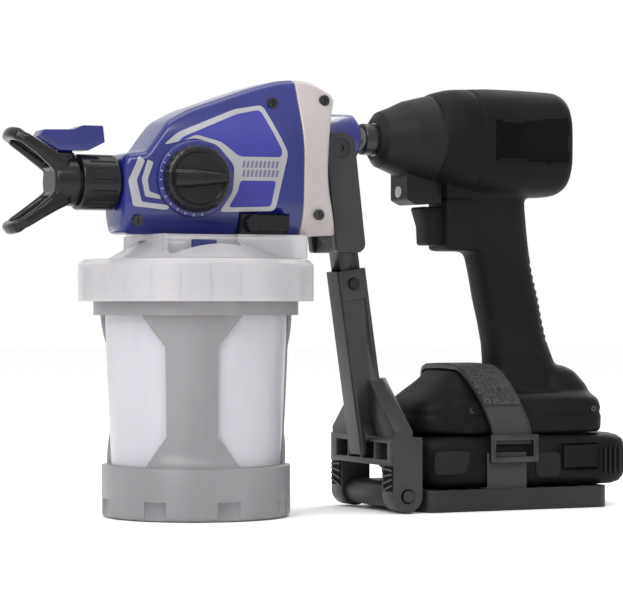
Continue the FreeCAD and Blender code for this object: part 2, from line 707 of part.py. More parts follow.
def piston_springs():
    """Return springs round the plungers: stacks of coned disc springs, drawn as one zigzag ring each."""
    made = []
    discs, sheet = 10, 0.7
    low, high = BLOCK_X[1], SWASH_FACE_X - STROKE / 2 - 4
    step = (high - low) / discs
    inside = [((PISTON_R + 0.4, 5.5)[k % 2], low + step * k) for k in range(discs + 1)]
    outside = [(r + sheet, x) for r, x in reversed(inside)]
    for i in range(PISTONS):
        y, z = polar(PISTON_CIRCLE_R, 90.0 + 360.0 / PISTONS * i)
        made.append(lathe(inside + outside, axis="X", at=(y, SPRAY_Z + z)))
    return group(made)


def input_shaft():
    """Hex drive shank, running shaft and pinion, in one."""
    hexagon = [(0 + polar(HEX_AF / math.sqrt(3), a)[0], DRIVE_Z + polar(HEX_AF / math.sqrt(3), a)[1])
               for a in range(0, 360, 60)]
    shank = prism(hexagon, 0, "YZ", (CAP_X[1] - 2, 128.0))
    groove = pipe("X", (0, DRIVE_Z), (118.0, 120.5), 5.0, 2.9)
    shaft = rod("X", (0, DRIVE_Z), (GEAR_X[0] - 10, CAP_X[1] - 1.0), SHAFT_R)
    pinion = gear(PINION_TEETH, MODULE, (GEAR_X[0] - 0.5, GEAR_X[1] + 0.5), (0, DRIVE_Z))
    return shank.cut(groove).fuse([shaft, pinion])


def drive_gear():
    """Large gear, its shaft and the wobble plate that pushes the plungers."""
    wheel = gear(GEAR_TEETH, MODULE, GEAR_X, (0, SPRAY_Z))
    shaft = rod("X", (0, SPRAY_Z), (SWASH_FACE_X + 1, 60.0), SHAFT_R)
    rise = STROKE / 2
    plate = rod("X", (0, SPRAY_Z), (SWASH_FACE_X - rise, GEAR_X[0]), SWASH_R)
    wedge = prism([(SWASH_FACE_X - 20, SPRAY_Z - 30), (SWASH_FACE_X - rise * 2, SPRAY_Z - 20),
                   (SWASH_FACE_X + rise * 2, SPRAY_Z + 20), (SWASH_FACE_X - 20, SPRAY_Z + 30)], 0, "XZ", (-30, 30))
    return wheel.fuse([shaft, plate.cut(wedge)])


def bearing(x, at, outer, inner):
    ring = pipe("X", at, x, outer, inner)
    groove = pipe("X", at, (x[0] - 1, x[0] + 0.6), outer - 1.4, inner + 1.4)
    return ring.cut(groove)


def shaft_bearings():
    """Ball bearings of the input shaft in the cap, and of the gear shaft in the rear plate."""
    inner = SHAFT_R + RUN
    return group([bearing((88.0, 94.0), (0, DRIVE_Z), CAP_R - 5.0, inner),
                  bearing((66.0, 72.0), (0, DRIVE_Z), CAP_R - 5.0, inner),
                  bearing((52.0, 57.0), (0, SPRAY_Z), 11.0, inner)])


def gear_plate():
    """Plate that holds the gear shaft's bearing and the drive cap, spanning the casing."""
    outline = casing_solid(-WALL - 0.3)
    plate = outline.common(box((58.0, 61.9), (-60, 60), (DECK_Z, 252.0)))
    plate = plate.cut(rod("X", (0, DRIVE_Z), (50, 70), CAP_R - 4))
    cup = pipe("X", (0, SPRAY_Z), (51.0, 58.0), 14.0, 11.0)
    plate = plate.fuse(cup).cut(rod("X", (0, SPRAY_Z), (50, 60.5), SHAFT_R + 1.0))
    return plate.removeSplitter()


# ---- controls -----------------------------------------------------------------------------------------------------
def knob_turned(shape):
    """Takes a shape built about +Z onto the knob's axis."""
    centre, normal = knob_frame()
    shape.rotate(V(0, 0, 0), V(1, 0, 0), 90)
    shape.rotate(V(0, 0, 0), V(0, 0, 1), math.degrees(math.atan2(normal.y, normal.x)) + 90)
    shape.translate(centre)
    return shape


def pressure_knob():
    low, high = KNOB_BOSS_H + 0.4, KNOB_BOSS_H + KNOB_DEPTH
    body = lathe([(0, low), (KNOB_R, low), (KNOB_R, high - 5), (KNOB_FACE_R, high - 3), (0, high - 3)])
    for i in range(20):
        groove = Part.makeCylinder(1.0, 20, V(*polar(KNOB_R + 0.4, 18.0 * i), low - 1))
        body = body.cut(groove)
    ridge = prism([(-17.0, -6.0), (17.5, -3.4), (17.5, 3.4), (-17.0, 6.0)], 2.0, "XY", (high - 4, high + 3))
    depth = 8.2
    stem = Part.makeCylinder(STEM_R, low + depth + 0.5, V(0, 0, -depth))
    return knob_turned(body.fuse([ridge, stem]).removeSplitter())


VALVE_FACE_Y = -27.2
VALVE_HUB = (VALVE_X[0] + 6.0, (VALVE_Z[0] + VALVE_Z[1]) / 2)


def purge_valve():
    """Valve body set in the near wall."""
    body = box((VALVE_X[0] + 0.3, VALVE_X[1] - 0.3), (VALVE_FACE_Y, -20.5), (DECK_Z + 0.2, VALVE_Z[1]))
    return body.cut(rod("Y", VALVE_HUB, (VALVE_FACE_Y - 1, -22.0), 2.5 + RUN))


def purge_lever():
    """Toothed hub and flat lever on the outside of the valve, swung up to bleed the pump."""
    outer = -34.5
    hub = rod("Y", VALVE_HUB, (outer, VALVE_FACE_Y - 0.15), 5.2)
    for i in range(12):
        x, z = polar(5.6, 30.0 * i)
        hub = hub.cut(rod("Y", (VALVE_HUB[0] + x, VALVE_HUB[1] + z), (outer - 1, VALVE_FACE_Y + 1), 0.9))
    spindle = rod("Y", VALVE_HUB, (outer + 1, -22.3), 2.5)
    bar = box((VALVE_HUB[0] + 3.0, VALVE_X[1] - 0.5), (outer, -31.0), (VALVE_HUB[1] - 4.3, VALVE_HUB[1] + 4.6))
    tip = edges_where(bar, lambda b: b.YLength > 3 and b.XMin > VALVE_X[1] - 1)
    return hub.fuse([spindle, bar.makeFillet(1.5, tip)]).removeSplitter()


# ---- spray head ---------------------------------------------------------------------------------------------------
def retaining_nut():
    x0, x1 = NUT_X
    body = rod("X", (0, SPRAY_Z), (x0, x1), NUT_R)
    end = edges_where(body, lambda b: b.XLength < 0.01)
    body = body.makeFillet(1.2, end)
    for i in range(16):
        y, z = polar(NUT_R + 0.5, 22.5 * i)
        body = body.cut(rod("X", (y, SPRAY_Z + z), (x0 + 5, x1 - 2.5), 1.3))
    body = body.cut(rod("X", (0, SPRAY_Z), (x0 + 3, x1 + 1), BARREL_R + 0.6))
    return body.cut(rod("X", (0, SPRAY_Z), (x0 - 1, x0 + 4), 9.6 + RUN)).removeSplitter()


def tip_seat():
    """Seat sleeve that the nut pulls against the barrel; the guard turns on its nose."""
    flange = rod("X", (0, SPRAY_Z), (NUT_X[0] + 3.05, BARREL_FRONT_X - 0.1), 10.8)
    nose = rod("X", (0, SPRAY_Z), (TIP_X + TIP_R + 0.4, NUT_X[0] + 3.1), 9.6)
    return flange.fuse(nose).cut(rod("X", (0, SPRAY_Z), (-95, -60), 2.0)).removeSplitter()


def wing(sign):
    """One slotted spacer wing of the guard, leaning away from the spray."""
    start = V(GUARD_FRONT_X + 6.0, 0, SPRAY_Z + sign * 9.0)
    end = V(-115.5, 0, SPRAY_Z + sign * 28.0)
    slope = math.degrees(math.atan2(end.z - start.z, end.x - start.x))
    length = (end - start).Length
    w = WING_HALF_W - 2.5
    plan = [(0, -w), (length, -w), (length, w), (0, w)]
    body = prism(plan, 6.0, "XY", (-4.0, 4.0))
    slot = prism([(8.0, -8.0), (length - 5.5, -8.0), (length - 5.5, 8.0), (8.0, 8.0)], 3.0, "XY", (-5.0, 5.0))
    body = body.cut(slot)
    body.rotate(V(0, 0, 0), V(0, 1, 0), -slope)
    body.translate(start)
    return body


def tip_guard():
    x0 = GUARD_FRONT_X
    x1 = NUT_X[0] - FIT
    body = rod("X", (0, SPRAY_Z), (x0, x1), GUARD_R)
    body = body.fuse([wing(1), wing(-1)])
    column = rod("Z", (TIP_X, 0), (SPRAY_Z, SPRAY_Z + 17.0), 6.0)
    body = body.fuse(column)
    body = body.cut(rod("X", (0, SPRAY_Z), (TIP_X + TIP_R - 0.6, x1 + 1), 9.6 + RUN))
    body = body.cut(rod("X", (0, SPRAY_Z), (-130.0, TIP_X), 5.0))
    return body.cut(rod("Z", (TIP_X, 0), (SPRAY_Z - 9, SPRAY_Z + 30), TIP_R + RUN)).removeSplitter()


def spray_tip():
    """Reversible spray tip: a barrel across the guard and its blue arrow handle."""
    barrel = rod("Z", (TIP_X, 0), (SPRAY_Z - 8, SPRAY_Z + 20), TIP_R)
    outline = [(-99.5, 220.5), (-97.0, 224.5), (-79.0, 225.0), (-73.0, 227.5), (-61.0, 227.5), (-60.0, 218.0),
               (-70.0, 213.0), (-88.0, 213.0)]
    handle = prism(outline, 0.8, "XZ", (-7.0, 7.0))
    window = box((-70.5, -65.5), (-2.6, 2.6), (200, 235))
    body = barrel.fuse(handle.cut(window))
    return body.cut(rod("X", (0, SPRAY_Z), (-95, -70), 1.0)).removeSplitter()


# ---- arm ----------------------------------------------------------------------------------------------------------
def down_leg(shape):
    """Takes a shape built down the -Z axis onto the leg's line."""
    shape.rotate(V(0, 0, 0), V(0, 1, 0), -LEG_TILT)
    shape.translate(V(LEG_TOP[0], 0, LEG_TOP[1]))
    return shape


BRIDGE_Z = (155.5, 165.5)
BUTTON_DROP = -19.0


def yoke():
    """Fork that hangs from the cap's pivots, with the inner strut of the telescopic leg below its bridge."""
    outline = [(PIVOT[0] - 9.5, 217.5), (PIVOT[0] - 2.5, BRIDGE_Z[0]), (PIVOT[0] + 16.5, BRIDGE_Z[0]),
               (PIVOT[0] + 9.5, 217.5)]
    arms = []
    for side in (-1, 1):
        span = sorted((side * YOKE_INNER_Y, side * (YOKE_INNER_Y + YOKE_T)))
        arm = prism(outline, [0, 2, 5, 0], "XZ", span).fuse(rod("Y", PIVOT, span, YOKE_BOSS_R))
        arms.append(arm)
    bridge = box((PIVOT[0] - 1.2, PIVOT[0] + 15.0), (-YOKE_INNER_Y - 1, YOKE_INNER_Y + 1), BRIDGE_Z)
    strut = down_leg(box((-STRUT[0] / 2, STRUT[0] / 2), (-STRUT[1] / 2, STRUT[1] / 2), (-STRUT_END, 6.0)))
    body = arms[0].fuse([arms[1], bridge, strut])
    slot = box((-2.6, 2.6), (-STRUT[1] / 2 - 1, 0), (-STRUT_END + 6, BUTTON_DROP + 2.6))
    body = body.cut(down_leg(slot))
    sink = YOKE_INNER_Y + YOKE_T - 2.0
    for span in ((-40.0, -sink), (sink, 40.0)):
        body = body.cut(rod("Y", PIVOT, span, 5.9))
    return body.cut(rod("Y", PIVOT, (-40, 40), PIN_R + RUN)).removeSplitter()


def leg():
    """Outer channel of the telescopic leg and its ribbed two-lug foot."""
    half_d, half_w = LEG[0] / 2, LEG[1] / 2
    tube = box((-half_d, half_d), (-half_w, half_w), (-LEG_END, -LEG_START))
    edges = [e for e in tube.Edges if e.BoundBox.ZLength > 50]
    tube = tube.makeFillet(2.0, edges)
    recess = box((-half_d + 3, half_d - 3), (-half_w - 1, -half_w + 1.0), (-LEG_END + 18, -LEG_START - 18))
    tube = down_leg(tube.cut(recess))
    lugs = []
    for side in (-1, 1):
        span = sorted((side * LUG_IN_Y, side * LUG_OUT_Y))
        lug = rod("Y", AXLE, span, LUG_R).fuse(box((AXLE[0] - LUG_R, AXLE[0] + LUG_R), span, (AXLE[1], 45.0)))
        brace = [(side * 7.0, 80.0), (side * LUG_OUT_Y, 49.0), (side * LUG_OUT_Y, 30.0), (side * 30.0, 30.0),
                 (side * 7.0, 65.0)]
        lugs.append(lug)
        lugs.append(prism(brace, 0, "YZ", (AXLE[0] - 9.0, AXLE[0] + 3.0)))
    web = box((AXLE[0] - 10.0, AXLE[0] + 5.0), (-LUG_OUT_Y, LUG_OUT_Y), (28.0, 45.0))
    body = tube.fuse(lugs + [web])
    pocket = box((AXLE[0] - 11.0, AXLE[0] - 3.5), (-8.0, 8.0), (31.5, 41.5))
    for centre in (-27.0, -9.0, 9.0, 27.0):
        cutter = pocket.copy()
        cutter.translate(V(0, centre, 0))
        body = body.cut(cutter)
    bore = down_leg(box((-STRUT[0] / 2 - 0.15, STRUT[0] / 2 + 0.15), (-STRUT[1] / 2 - 0.15, STRUT[1] / 2 + 0.15),
                        (-LEG_END + 10, 0.0)))
    body = body.cut(bore)
    body = body.cut(down_leg(rod("Y", (0, BUTTON_DROP), (-half_w - 2, 0), 3.6)))
    return body.cut(rod("Y", AXLE, (-60, 60), AXLE_R + AXLE_GAP)).removeSplitter()


def height_button():
    """Sprung button that locks the strut in the leg."""
    half_w = LEG[1] / 2
    head = rod("Y", (0, BUTTON_DROP), (-half_w - 1.2, -STRUT[1] / 2 - 1.9), 3.4)
    pin = rod("Y", (0, BUTTON_DROP), (-STRUT[1] / 2 - 2.2, -STRUT[1] / 2 + 1.8), 2.2)
    return down_leg(head.fuse(pin).removeSplitter())


# ---- cradle -------------------------------------------------------------------------------------------------------
def tray():
    x0, x1 = TRAY_X
    w = TRAY_HALF_W
    plan = [(x0, -w), (x1, -w), (x1, w), (x0, w)]
    body = prism(plan, 8.0, "XY", (0.0, TRAY_TOP_Z))
    hollow = prism(plan, 8.0, "XY", (TRAY_T, TRAY_TOP_Z + 1), inset=2.4)
    body = body.cut(hollow)
    cross = []
    for x in (151.0, 163.0, 211.0, 226.0, 241.0):
        cross.append(box((x, x + 3.0), (-w + 2, w - 2), (1.0, TRAY_TOP_Z)))
    for y in (-26.0, -1.5, 23.0):
        cross.append(box((x0 + 2, 166.0), (y, y + 3.0), (1.0, TRAY_TOP_Z)))
    tongue = box((AXLE[0], x0 + 4.0), (-LUG_IN_Y + 0.8, LUG_IN_Y - 0.8), (3.0, 17.0))
    knuckle = rod("Y", AXLE, (-LUG_IN_Y + 0.8, LUG_IN_Y - 0.8), 8.0)
    body = body.fuse(cross + [tongue, knuckle])
    body = body.cut(box((186.0, 208.0), (-20.0, 20.0), (-1, TRAY_T + 1)))
    return body.cut(rod("Y", AXLE, (-60, 60), 5.0)).removeSplitter()


def axle():
    """Rod through the foot's lugs and the tray's knuckle."""
    body = rod("Y", AXLE, (-LUG_OUT_Y - 1.5, LUG_OUT_Y + 1.5), AXLE_R)
    ends = edges_where(body, lambda b: b.YLength < 0.01)
    return body.makeFillet(0.8, ends)


def axle_sleeve():
    return pipe("Y", AXLE, (-LUG_IN_Y + 0.8, LUG_IN_Y - 0.8), 5.0, AXLE_R)


# ---- driver casing ------------------------------------------------------------------------------------------------
HANDLE = [(200.0, 191.5, 20.0, 15.5), (165.0, 199.5, 24.5, 16.0), (140.0, 205.0, 22.0, 17.0),
          (110.0, 211.8, 21.5, 17.0), (84.0, 217.0, 22.5, 18.0), (60.0, 220.0, 27.0, 22.0)]


def handle_solid(grow):
    """Grip from the motor head down to the foot: (z, centre x, half depth, half thickness) sections."""
    wires = []
    for z, centre, depth, width in HANDLE:
        wires.append(slab(centre, depth + grow, width + grow, z, 12.0 + grow))
    return Part.makeLoft(wires, True, False)


def head_solid(grow):
    x0, x1 = HEAD_SPLIT_X, HEAD_END_X + grow
    r = HEAD_R + grow
    nose = HEAD_R - 3.5 + grow
    return lathe([(0, x0 - 0.2), (nose, x0 - 0.2), (r, x0 + 14), (r, x1 - 7), (r - 7, x1), (0, x1)], "X",
                 (0.0, DRIVE_Z))


def foot_solid(grow):
    body = prism([(136.0, -36.0), (262.0, -36.0), (262.0, 36.0), (136.0, 36.0)], 10.0, "XY",
                 (FOOT_LOW_Z - grow, 70.0 + grow), inset=-grow)
    hump = prism([(145.0, 60.0), (157.0, 84.0), (190.0, 84.0), (200.0, 60.0)], [0, 5, 5, 0], "XZ",
                 (-24.0 - grow, 24.0 + grow), inset=-grow)
    shoulder = prism([(222.0, 60.0), (236.0, 88.0), (246.0, 86.0), (260.0, 68.0), (258.0, 60.0)], [0, 4, 4, 3, 0], "XZ",
                     (-24.0 - grow, 24.0 + grow), inset=-grow)
    return body.fuse([hump, shoulder])


def neck_solid(grow):
    return prism([(160.0, 156.0), (160.0, 200.0), (200.0, 200.0), (200.0, 156.0)], [3, 0, 0, 0], "XZ",
                 (-14.0 - grow, 14.0 + grow), inset=-grow)


def driver_solid(grow):
    return head_solid(grow).fuse([handle_solid(grow), foot_solid(grow), neck_solid(grow)])


TRIGGER_Z = (160.5, 184.0)
SELECTOR_X = (158.5, 175.5)
SELECTOR_Z = (189.5, 198.5)
HOOK_AT = (240.0, 58.5)      # threaded hole for a belt hook, in the far side of the foot
HOOK_R = 2.0
DRIVER_SCREWS = [(196.0, 183.0), (207.0, 130.0), (166.0, 60.0), (251.0, 60.0), (221.4, 199.6)]


def driver_casings():
    wall = 2.6
    shell = driver_solid(0.0).cut(driver_solid(-wall))
    shell = shell.cut(rod("X", (0, DRIVE_Z), (HEAD_SPLIT_X - 2, HEAD_SPLIT_X + 3.0), HEAD_R - 6.5))
    shell = shell.cut(box((150.0, 172.0), (-8.3, 8.3), (TRIGGER_Z[0] - 0.5, TRIGGER_Z[1] + 0.5)))
    shell = shell.cut(box((SELECTOR_X[0] - 0.3, SELECTOR_X[1] + 0.3), (-40, 40), (SELECTOR_Z[0] - 0.3, SELECTOR_Z[1] + 0.3)))
    shell = shell.cut(box((190.0, 250.0), (-28.0, 28.0), (40.0, FOOT_LOW_Z + 3.0)))
    shell = shell.fuse(box((HOOK_AT[0] - 6.0, HOOK_AT[0] + 6.0), (27.0, 35.0), (HOOK_AT[1] - 5.0, HOOK_AT[1] + 5.0)))
    shell = shell.cut(rod("Y", HOOK_AT, (28.0, 40.0), HOOK_R))
    for x, z in DRIVER_SCREWS:
        shell = shell.cut(rod("Y", (x, z), (-60, 60), 1.9))
    vents = []
    for k in range(4):
        vents.append(box((217.0 + 3.5 * k, 218.6 + 3.5 * k), (-60, 60), (DRIVE_Z - 9, DRIVE_Z + 9)))
    shell = shell.cut(group(vents))
    return halves(shell)


def driver_screws():
    screws = []
    solid = driver_solid(0.0)
    for x, z in DRIVER_SCREWS:
        reach = solid.common(rod("Y", (x, z), (0, 60), 1.8)).optimalBoundingBox().YMax
        body = rod("Y", (x, z), (-reach + 1.0, reach - 1.0), 1.8)
        screws.append(body.cut(box((x - 0.5, x + 0.5), (-reach, -reach + 2.2), (z - 0.5, z + 0.5))))
    return group(screws)


def hammer_case():
    """Tapered nose that holds the impact mechanism."""
    outline = [(10.0 + RUN, 116.5), (12.5, 116.5), (17.0, 120.0), (20.0, 128.0), (24.0, 137.0), (27.0, 150.0),
               (HEAD_R - 4.0, HEAD_SPLIT_X - 0.5), (HEAD_R - 10.0, HEAD_SPLIT_X - 0.5), (HEAD_R - 10.0, 140.1),
               (18.0, 140.1), (18.0, 133.9), (10.0 + RUN, 133.9)]
    body = lathe(outline, "X", (0.0, DRIVE_Z))
    spigot = pipe("X", (0, DRIVE_Z), (HEAD_SPLIT_X - 0.6, HEAD_SPLIT_X + 6.0), HEAD_R - 6.6, HEAD_R - 10.0)
    shroud = prism([(134.0, 188.0), (134.0, 208.0), (157.5, 204.0), (157.5, 186.0), (140.0, 185.0)], [2, 0, 0, 0, 4], "XZ",
                   (-11.0, 11.0))
    body = body.fuse([spigot, shroud.cut(rod("X", (0, DRIVE_Z), (130, 160), HEAD_R - 10.0))])
    return body.cut(rod("X", (0, 193.0), (130.0, 137.0), 3.6)).removeSplitter()


def work_light():
    return rod("X", (0, 193.0), (133.2, 136.9), 3.5)


def chuck_collar():
    body = pipe("X", (0, DRIVE_Z), (108.0, 116.2), 9.5, 7.0 + RUN)
    rim = edges_where(body, lambda b: b.XLength < 0.01 and b.ZLength > 18.5)
    return body.makeFillet(0.9, rim)


def anvil():
    """Output shaft with the hex socket, and the two ears the hammer strikes."""
    body = rod("X", (0, DRIVE_Z), (107.0, 134.5), 7.0).fuse(rod("X", (0, DRIVE_Z), (116.6, 134.0), 10.0))
    ears = box((134.0, 140.0), (-16.0, 16.0), (DRIVE_Z - 5, DRIVE_Z + 5))
    hexagon = [(polar((HEX_AF + 0.2) / math.sqrt(3), a)[0], DRIVE_Z + polar((HEX_AF + 0.2) / math.sqrt(3), a)[1])
               for a in range(0, 360, 60)]
    socket = prism(hexagon, 0, "YZ", (100.0, 129.0))
    return body.fuse(ears).cut(socket).removeSplitter()


def hammer():
    """Hammer block and carrier spindle."""
    body = rod("X", (0, DRIVE_Z), (140.3, 156.0), HEAD_R - 10.6)
    shaft = rod("X", (0, DRIVE_Z), (140.3, 166.0), 6.0)
    carrier = rod("X", (0, DRIVE_Z), (158.0, 163.5), 18.0)
    return body.fuse([shaft, carrier])


def gearbox():
    """Sealed reduction gearbox between the motor and the hammer."""
    body = rod("X", (0, DRIVE_Z), GEARBOX_X, HEAD_R - 6.6)
    return body.cut(rod("X", (0, DRIVE_Z), (GEARBOX_X[0] - 1, GEARBOX_X[1] + 1), 6.0 + RUN))


def motor_stator():
    body = pipe("X", (0, DRIVE_Z), (182.0, 217.0), HEAD_R - 2.7, 16.3)
    slots = []
    for i in range(6):
        slot = box((181.0, 218.0), (-3.0, 3.0), (15.0, HEAD_R - 6.5))
        slot.rotate(V(0, 0, 0), V(1, 0, 0), 60.0 * i)
        slot.translate(V(0, 0, DRIVE_Z))
        slots.append(slot)
    return body.cut(group(slots))


def motor_rotor():
    """Rotor with its shaft and fan."""
    body = rod("X", (0, DRIVE_Z), (183.0, 216.0), 16.0)
    shaft = rod("X", (0, DRIVE_Z), (168.0, 229.0), 4.0)
    fan = rod("X", (0, DRIVE_Z), (219.5, 223.5), 22.0)
    return body.fuse([shaft, fan]).removeSplitter()


def end_bearing():
    holder = rod("X", (0, DRIVE_Z), (226.0, 232.0), HEAD_R - 2.7)
    return holder.cut(rod("X", (0, DRIVE_Z), (225.0, 229.5), 4.0 + RUN))


def trigger():
    outline = [(145.5, TRIGGER_Z[1]), (149.5, 172.0), (150.0, TRIGGER_Z[0]), (164.0, TRIGGER_Z[0]), (164.0, TRIGGER_Z[1])]
    return prism(outline, [1.5, 6, 2, 0, 0], "XZ", (-8.0, 8.0))


def switch_body():
    return box((172.5, 196.0), (-11.3, 11.3), (162.0, 180.0))


def selector():
    """Direction slider that passes through the neck, one end each side."""
    return box(SELECTOR_X, (-17.0, 17.0), SELECTOR_Z)


# ---- battery ------------------------------------------------------------------------------------------------------
def battery_solid(grow):
    w = 38.0 + grow
    plan = [(135.0, -w), (278.0, -w), (278.0, w), (135.0, w)]
    wires = []
    for z, inset in ((13.0 - grow, 1.5), (18.0, 0.0), (40.0, 0.0), (FOOT_LOW_Z - 0.3 + grow, 0.8)):
        half_x = (plan[1][0] - plan[0][0]) / 2 - inset + grow
        wires.append(slab((plan[0][0] + plan[1][0]) / 2, half_x, w - inset, z, 12.0))
    return Part.makeLoft(wires, True, True)


def battery_case():
    shell = battery_solid(0.0).cut(battery_solid(-2.4))
    for side in (-1, 1):
        y = sorted((side * 33.0, side * 45.0))
        shell = shell.cut(box((228.0 - FIT, 252.0 + FIT), y, (24.0 - FIT, 38.0 + FIT)))
    return shell.cut(box((206.0, 234.0), (-16.0, 16.0), (40.0, 50.0)))


def battery_cells():
    cells = []
    for i in range(5):
        x = 162.0 + i * 19.0
        cell = rod("Y", (x, 15.6 + CELL_R), (-CELL_L / 2, CELL_L / 2), CELL_R)
        cells.append(cell.fuse(rod("Y", (x, 15.6 + CELL_R), (CELL_L / 2, CELL_L / 2 + 1.2), 3.0)))
    return group(cells)


def cell_holder():
    """Frame over the cells, with the terminal block on top."""
    body = box((156.0, 246.0), (-32.4, 32.4), (34.2, 38.0))
    for side in (-1, 1):
        body = body.fuse(box((156.0, 246.0), sorted((side * 20.0, side * 24.0)), (26.0, 36.0)))
    for i in range(5):
        x = 162.0 + i * 19.0
        body = body.cut(rod("Y", (x, 15.6 + CELL_R), (-40, 40), CELL_R + 0.1))
    terminal = box((207.0, 233.0), (-15.0, 15.0), (37.0, 47.4))
    for y in (-10.0, -3.5, 3.0, 9.5):
        terminal = terminal.cut(box((205.0, 228.0), (y - 0.6, y + 0.6), (41.0, 50.0)))
    return body.fuse(terminal).removeSplitter()


def battery_latch(side):
    y = sorted((side * 34.0, side * 38.8))
    body = box((228.0, 252.0), y, (24.0, 38.0))
    edges = edges_where(body, lambda b: b.YLength < 0.01 and abs(b.YMax) > 38)
    return body.makeFillet(0.8, edges)


def control_board():
    low = FOOT_LOW_Z + 2.7
    board = box((168.0, 232.0), (-29.0, 29.0), (low, low + 1.6))
    parts = [box((176.0, 188.0), (-10.0, 8.0), (low + 1.6, low + 6)), rod("Z", (200.0, -12.0), (low + 1.6, low + 8), 5.0)]
    return board.fuse(parts)


# ---- strap --------------------------------------------------------------------------------------------------------
STRAP_SIDE_Y = 38.3
STRAP_LOW_Z = 2.6
STRAP_BEND_Z = 46.0
UPPER_STRAP_X = (178.0, 205.0)
UPPER_LEAN = 0.406          # the upper band leans back towards the nose as it rises


def upper_outline(out):
    """Path of the upper band over the foot (y, z), moved out by out."""
    side = STRAP_SIDE_Y + out
    half = [(side, STRAP_BEND_Z), (37.4 + out, 71.5 + out * 0.4), (25.2 + out * 0.8, 84.5 + out)]
    return half + [(-y, z) for y, z in reversed(half)]


def strap():
    """Webbing: a vertical band each side of the battery, and the leaning band over the foot."""
    x0, x1 = UPPER_STRAP_X
    outline = upper_outline(STRAP_T) + list(reversed(upper_outline(0.0)))
    corners = [V(x0 - UPPER_LEAN * (z - STRAP_BEND_Z), y, z) for y, z in outline]
    body = Part.Face(Part.makePolygon(corners + [corners[0]])).extrude(V(x1 - x0, 0, 0))
    sides = []
    for side in (-1, 1):
        span = sorted((side * STRAP_SIDE_Y, side * (STRAP_SIDE_Y + STRAP_T)))
        sides.append(box(STRAP_X, span, (STRAP_LOW_Z, STRAP_BEND_Z + 0.5)))
    return body.fuse(sides).removeSplitter()


def strap_buckle():
    """Rectangular ring on the near side."""
    x0, x1 = STRAP_X[0] + 0.5, UPPER_STRAP_X[1] + 2.5
    y = -STRAP_SIDE_Y - STRAP_T - 3.0
    frame = box((x0, x1), (y, y + 2.6), (28.5, 45.5))
    return frame.cut(box((x0 + 3.5, x1 - 3.5), (y - 1, y + 4), (32.0, 42.0)))


def build():
    front_near, front_far, rear_near, rear_far = pump_casings()
    driver_near, driver_far = driver_casings()
    nodes = {
        "cup_support": cup_support(), "cup_liner": cup_liner(), "cup_gasket": cup_gasket(), "cup_cover": cup_cover(),
        "latch_button": latch_button(), "suction_tube": suction_tube(), "inlet_strainer": inlet_strainer(),
        "lock_ring": lock_ring(),
        "casing_front_near": front_near, "casing_front_far": front_far,
        "casing_rear_near": rear_near, "casing_rear_far": rear_far, "casing_screws": casing_screws(),
        "drive_cap": drive_cap(), "pivot_screws": pivot_screws(),
        "pump_block": pump_block(), "spray_barrel": spray_barrel(), "outlet_filter": outlet_filter(),
        "pistons": pistons(), "piston_springs": piston_springs(), "input_shaft": input_shaft(),
        "drive_gear": drive_gear(), "shaft_bearings": shaft_bearings(), "gear_plate": gear_plate(),
        "pressure_knob": pressure_knob(), "purge_valve": purge_valve(),
        "purge_lever": purge_lever(), "retaining_nut": retaining_nut(), "tip_seat": tip_seat(),
        "tip_guard": tip_guard(), "spray_tip": spray_tip(),
        "yoke": yoke(), "leg": leg(), "height_button": height_button(),
        "tray": tray(), "axle": axle(), "axle_sleeve": axle_sleeve(), "strap": strap(),
        "strap_buckle": strap_buckle(),
        "driver_casing_near": driver_near, "driver_casing_far": driver_far, "driver_screws": driver_screws(),
        "hammer_case": hammer_case(), "work_light": work_light(), "chuck_collar": chuck_collar(), "anvil": anvil(),
        "hammer": hammer(), "gearbox": gearbox(), "motor_stator": motor_stator(), "motor_rotor": motor_rotor(),
        "end_bearing": end_bearing(), "trigger": trigger(), "switch_body": switch_body(), "selector": selector(),
        "battery_case": battery_case(), "battery_cells": battery_cells(), "cell_holder": cell_holder(),
        "battery_latch_near": battery_latch(-1),
        "battery_latch_far": battery_latch(1), "control_board": control_board(),
    }
    return nodes


os.makedirs("parts", exist_ok=True)
for name, shape in build().items():
    shape.exportStep("parts/" + name + ".step")
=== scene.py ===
"""Airless paint sprayer with its impact driver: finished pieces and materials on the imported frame.

Lengths are in millimetres and are multiplied by MM. +X runs from the cup to the driver, -Y is the near side.
"""
import json
import math

import bmesh
import bpy
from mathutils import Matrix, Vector
from mathutils.bvhtree import BVHTree


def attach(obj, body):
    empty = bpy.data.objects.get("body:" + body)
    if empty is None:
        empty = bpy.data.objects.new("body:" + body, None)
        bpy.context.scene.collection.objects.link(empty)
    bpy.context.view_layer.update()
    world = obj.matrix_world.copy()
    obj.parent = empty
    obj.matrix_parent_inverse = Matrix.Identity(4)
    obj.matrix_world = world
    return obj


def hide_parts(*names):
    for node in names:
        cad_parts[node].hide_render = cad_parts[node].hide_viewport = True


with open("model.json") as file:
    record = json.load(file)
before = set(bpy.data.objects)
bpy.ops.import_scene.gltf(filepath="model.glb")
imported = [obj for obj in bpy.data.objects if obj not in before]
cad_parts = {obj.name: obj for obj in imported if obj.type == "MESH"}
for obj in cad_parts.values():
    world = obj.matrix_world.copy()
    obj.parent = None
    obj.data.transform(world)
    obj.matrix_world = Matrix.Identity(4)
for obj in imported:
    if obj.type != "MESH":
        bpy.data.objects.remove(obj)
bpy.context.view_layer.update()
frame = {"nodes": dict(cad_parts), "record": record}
MM = 0.001


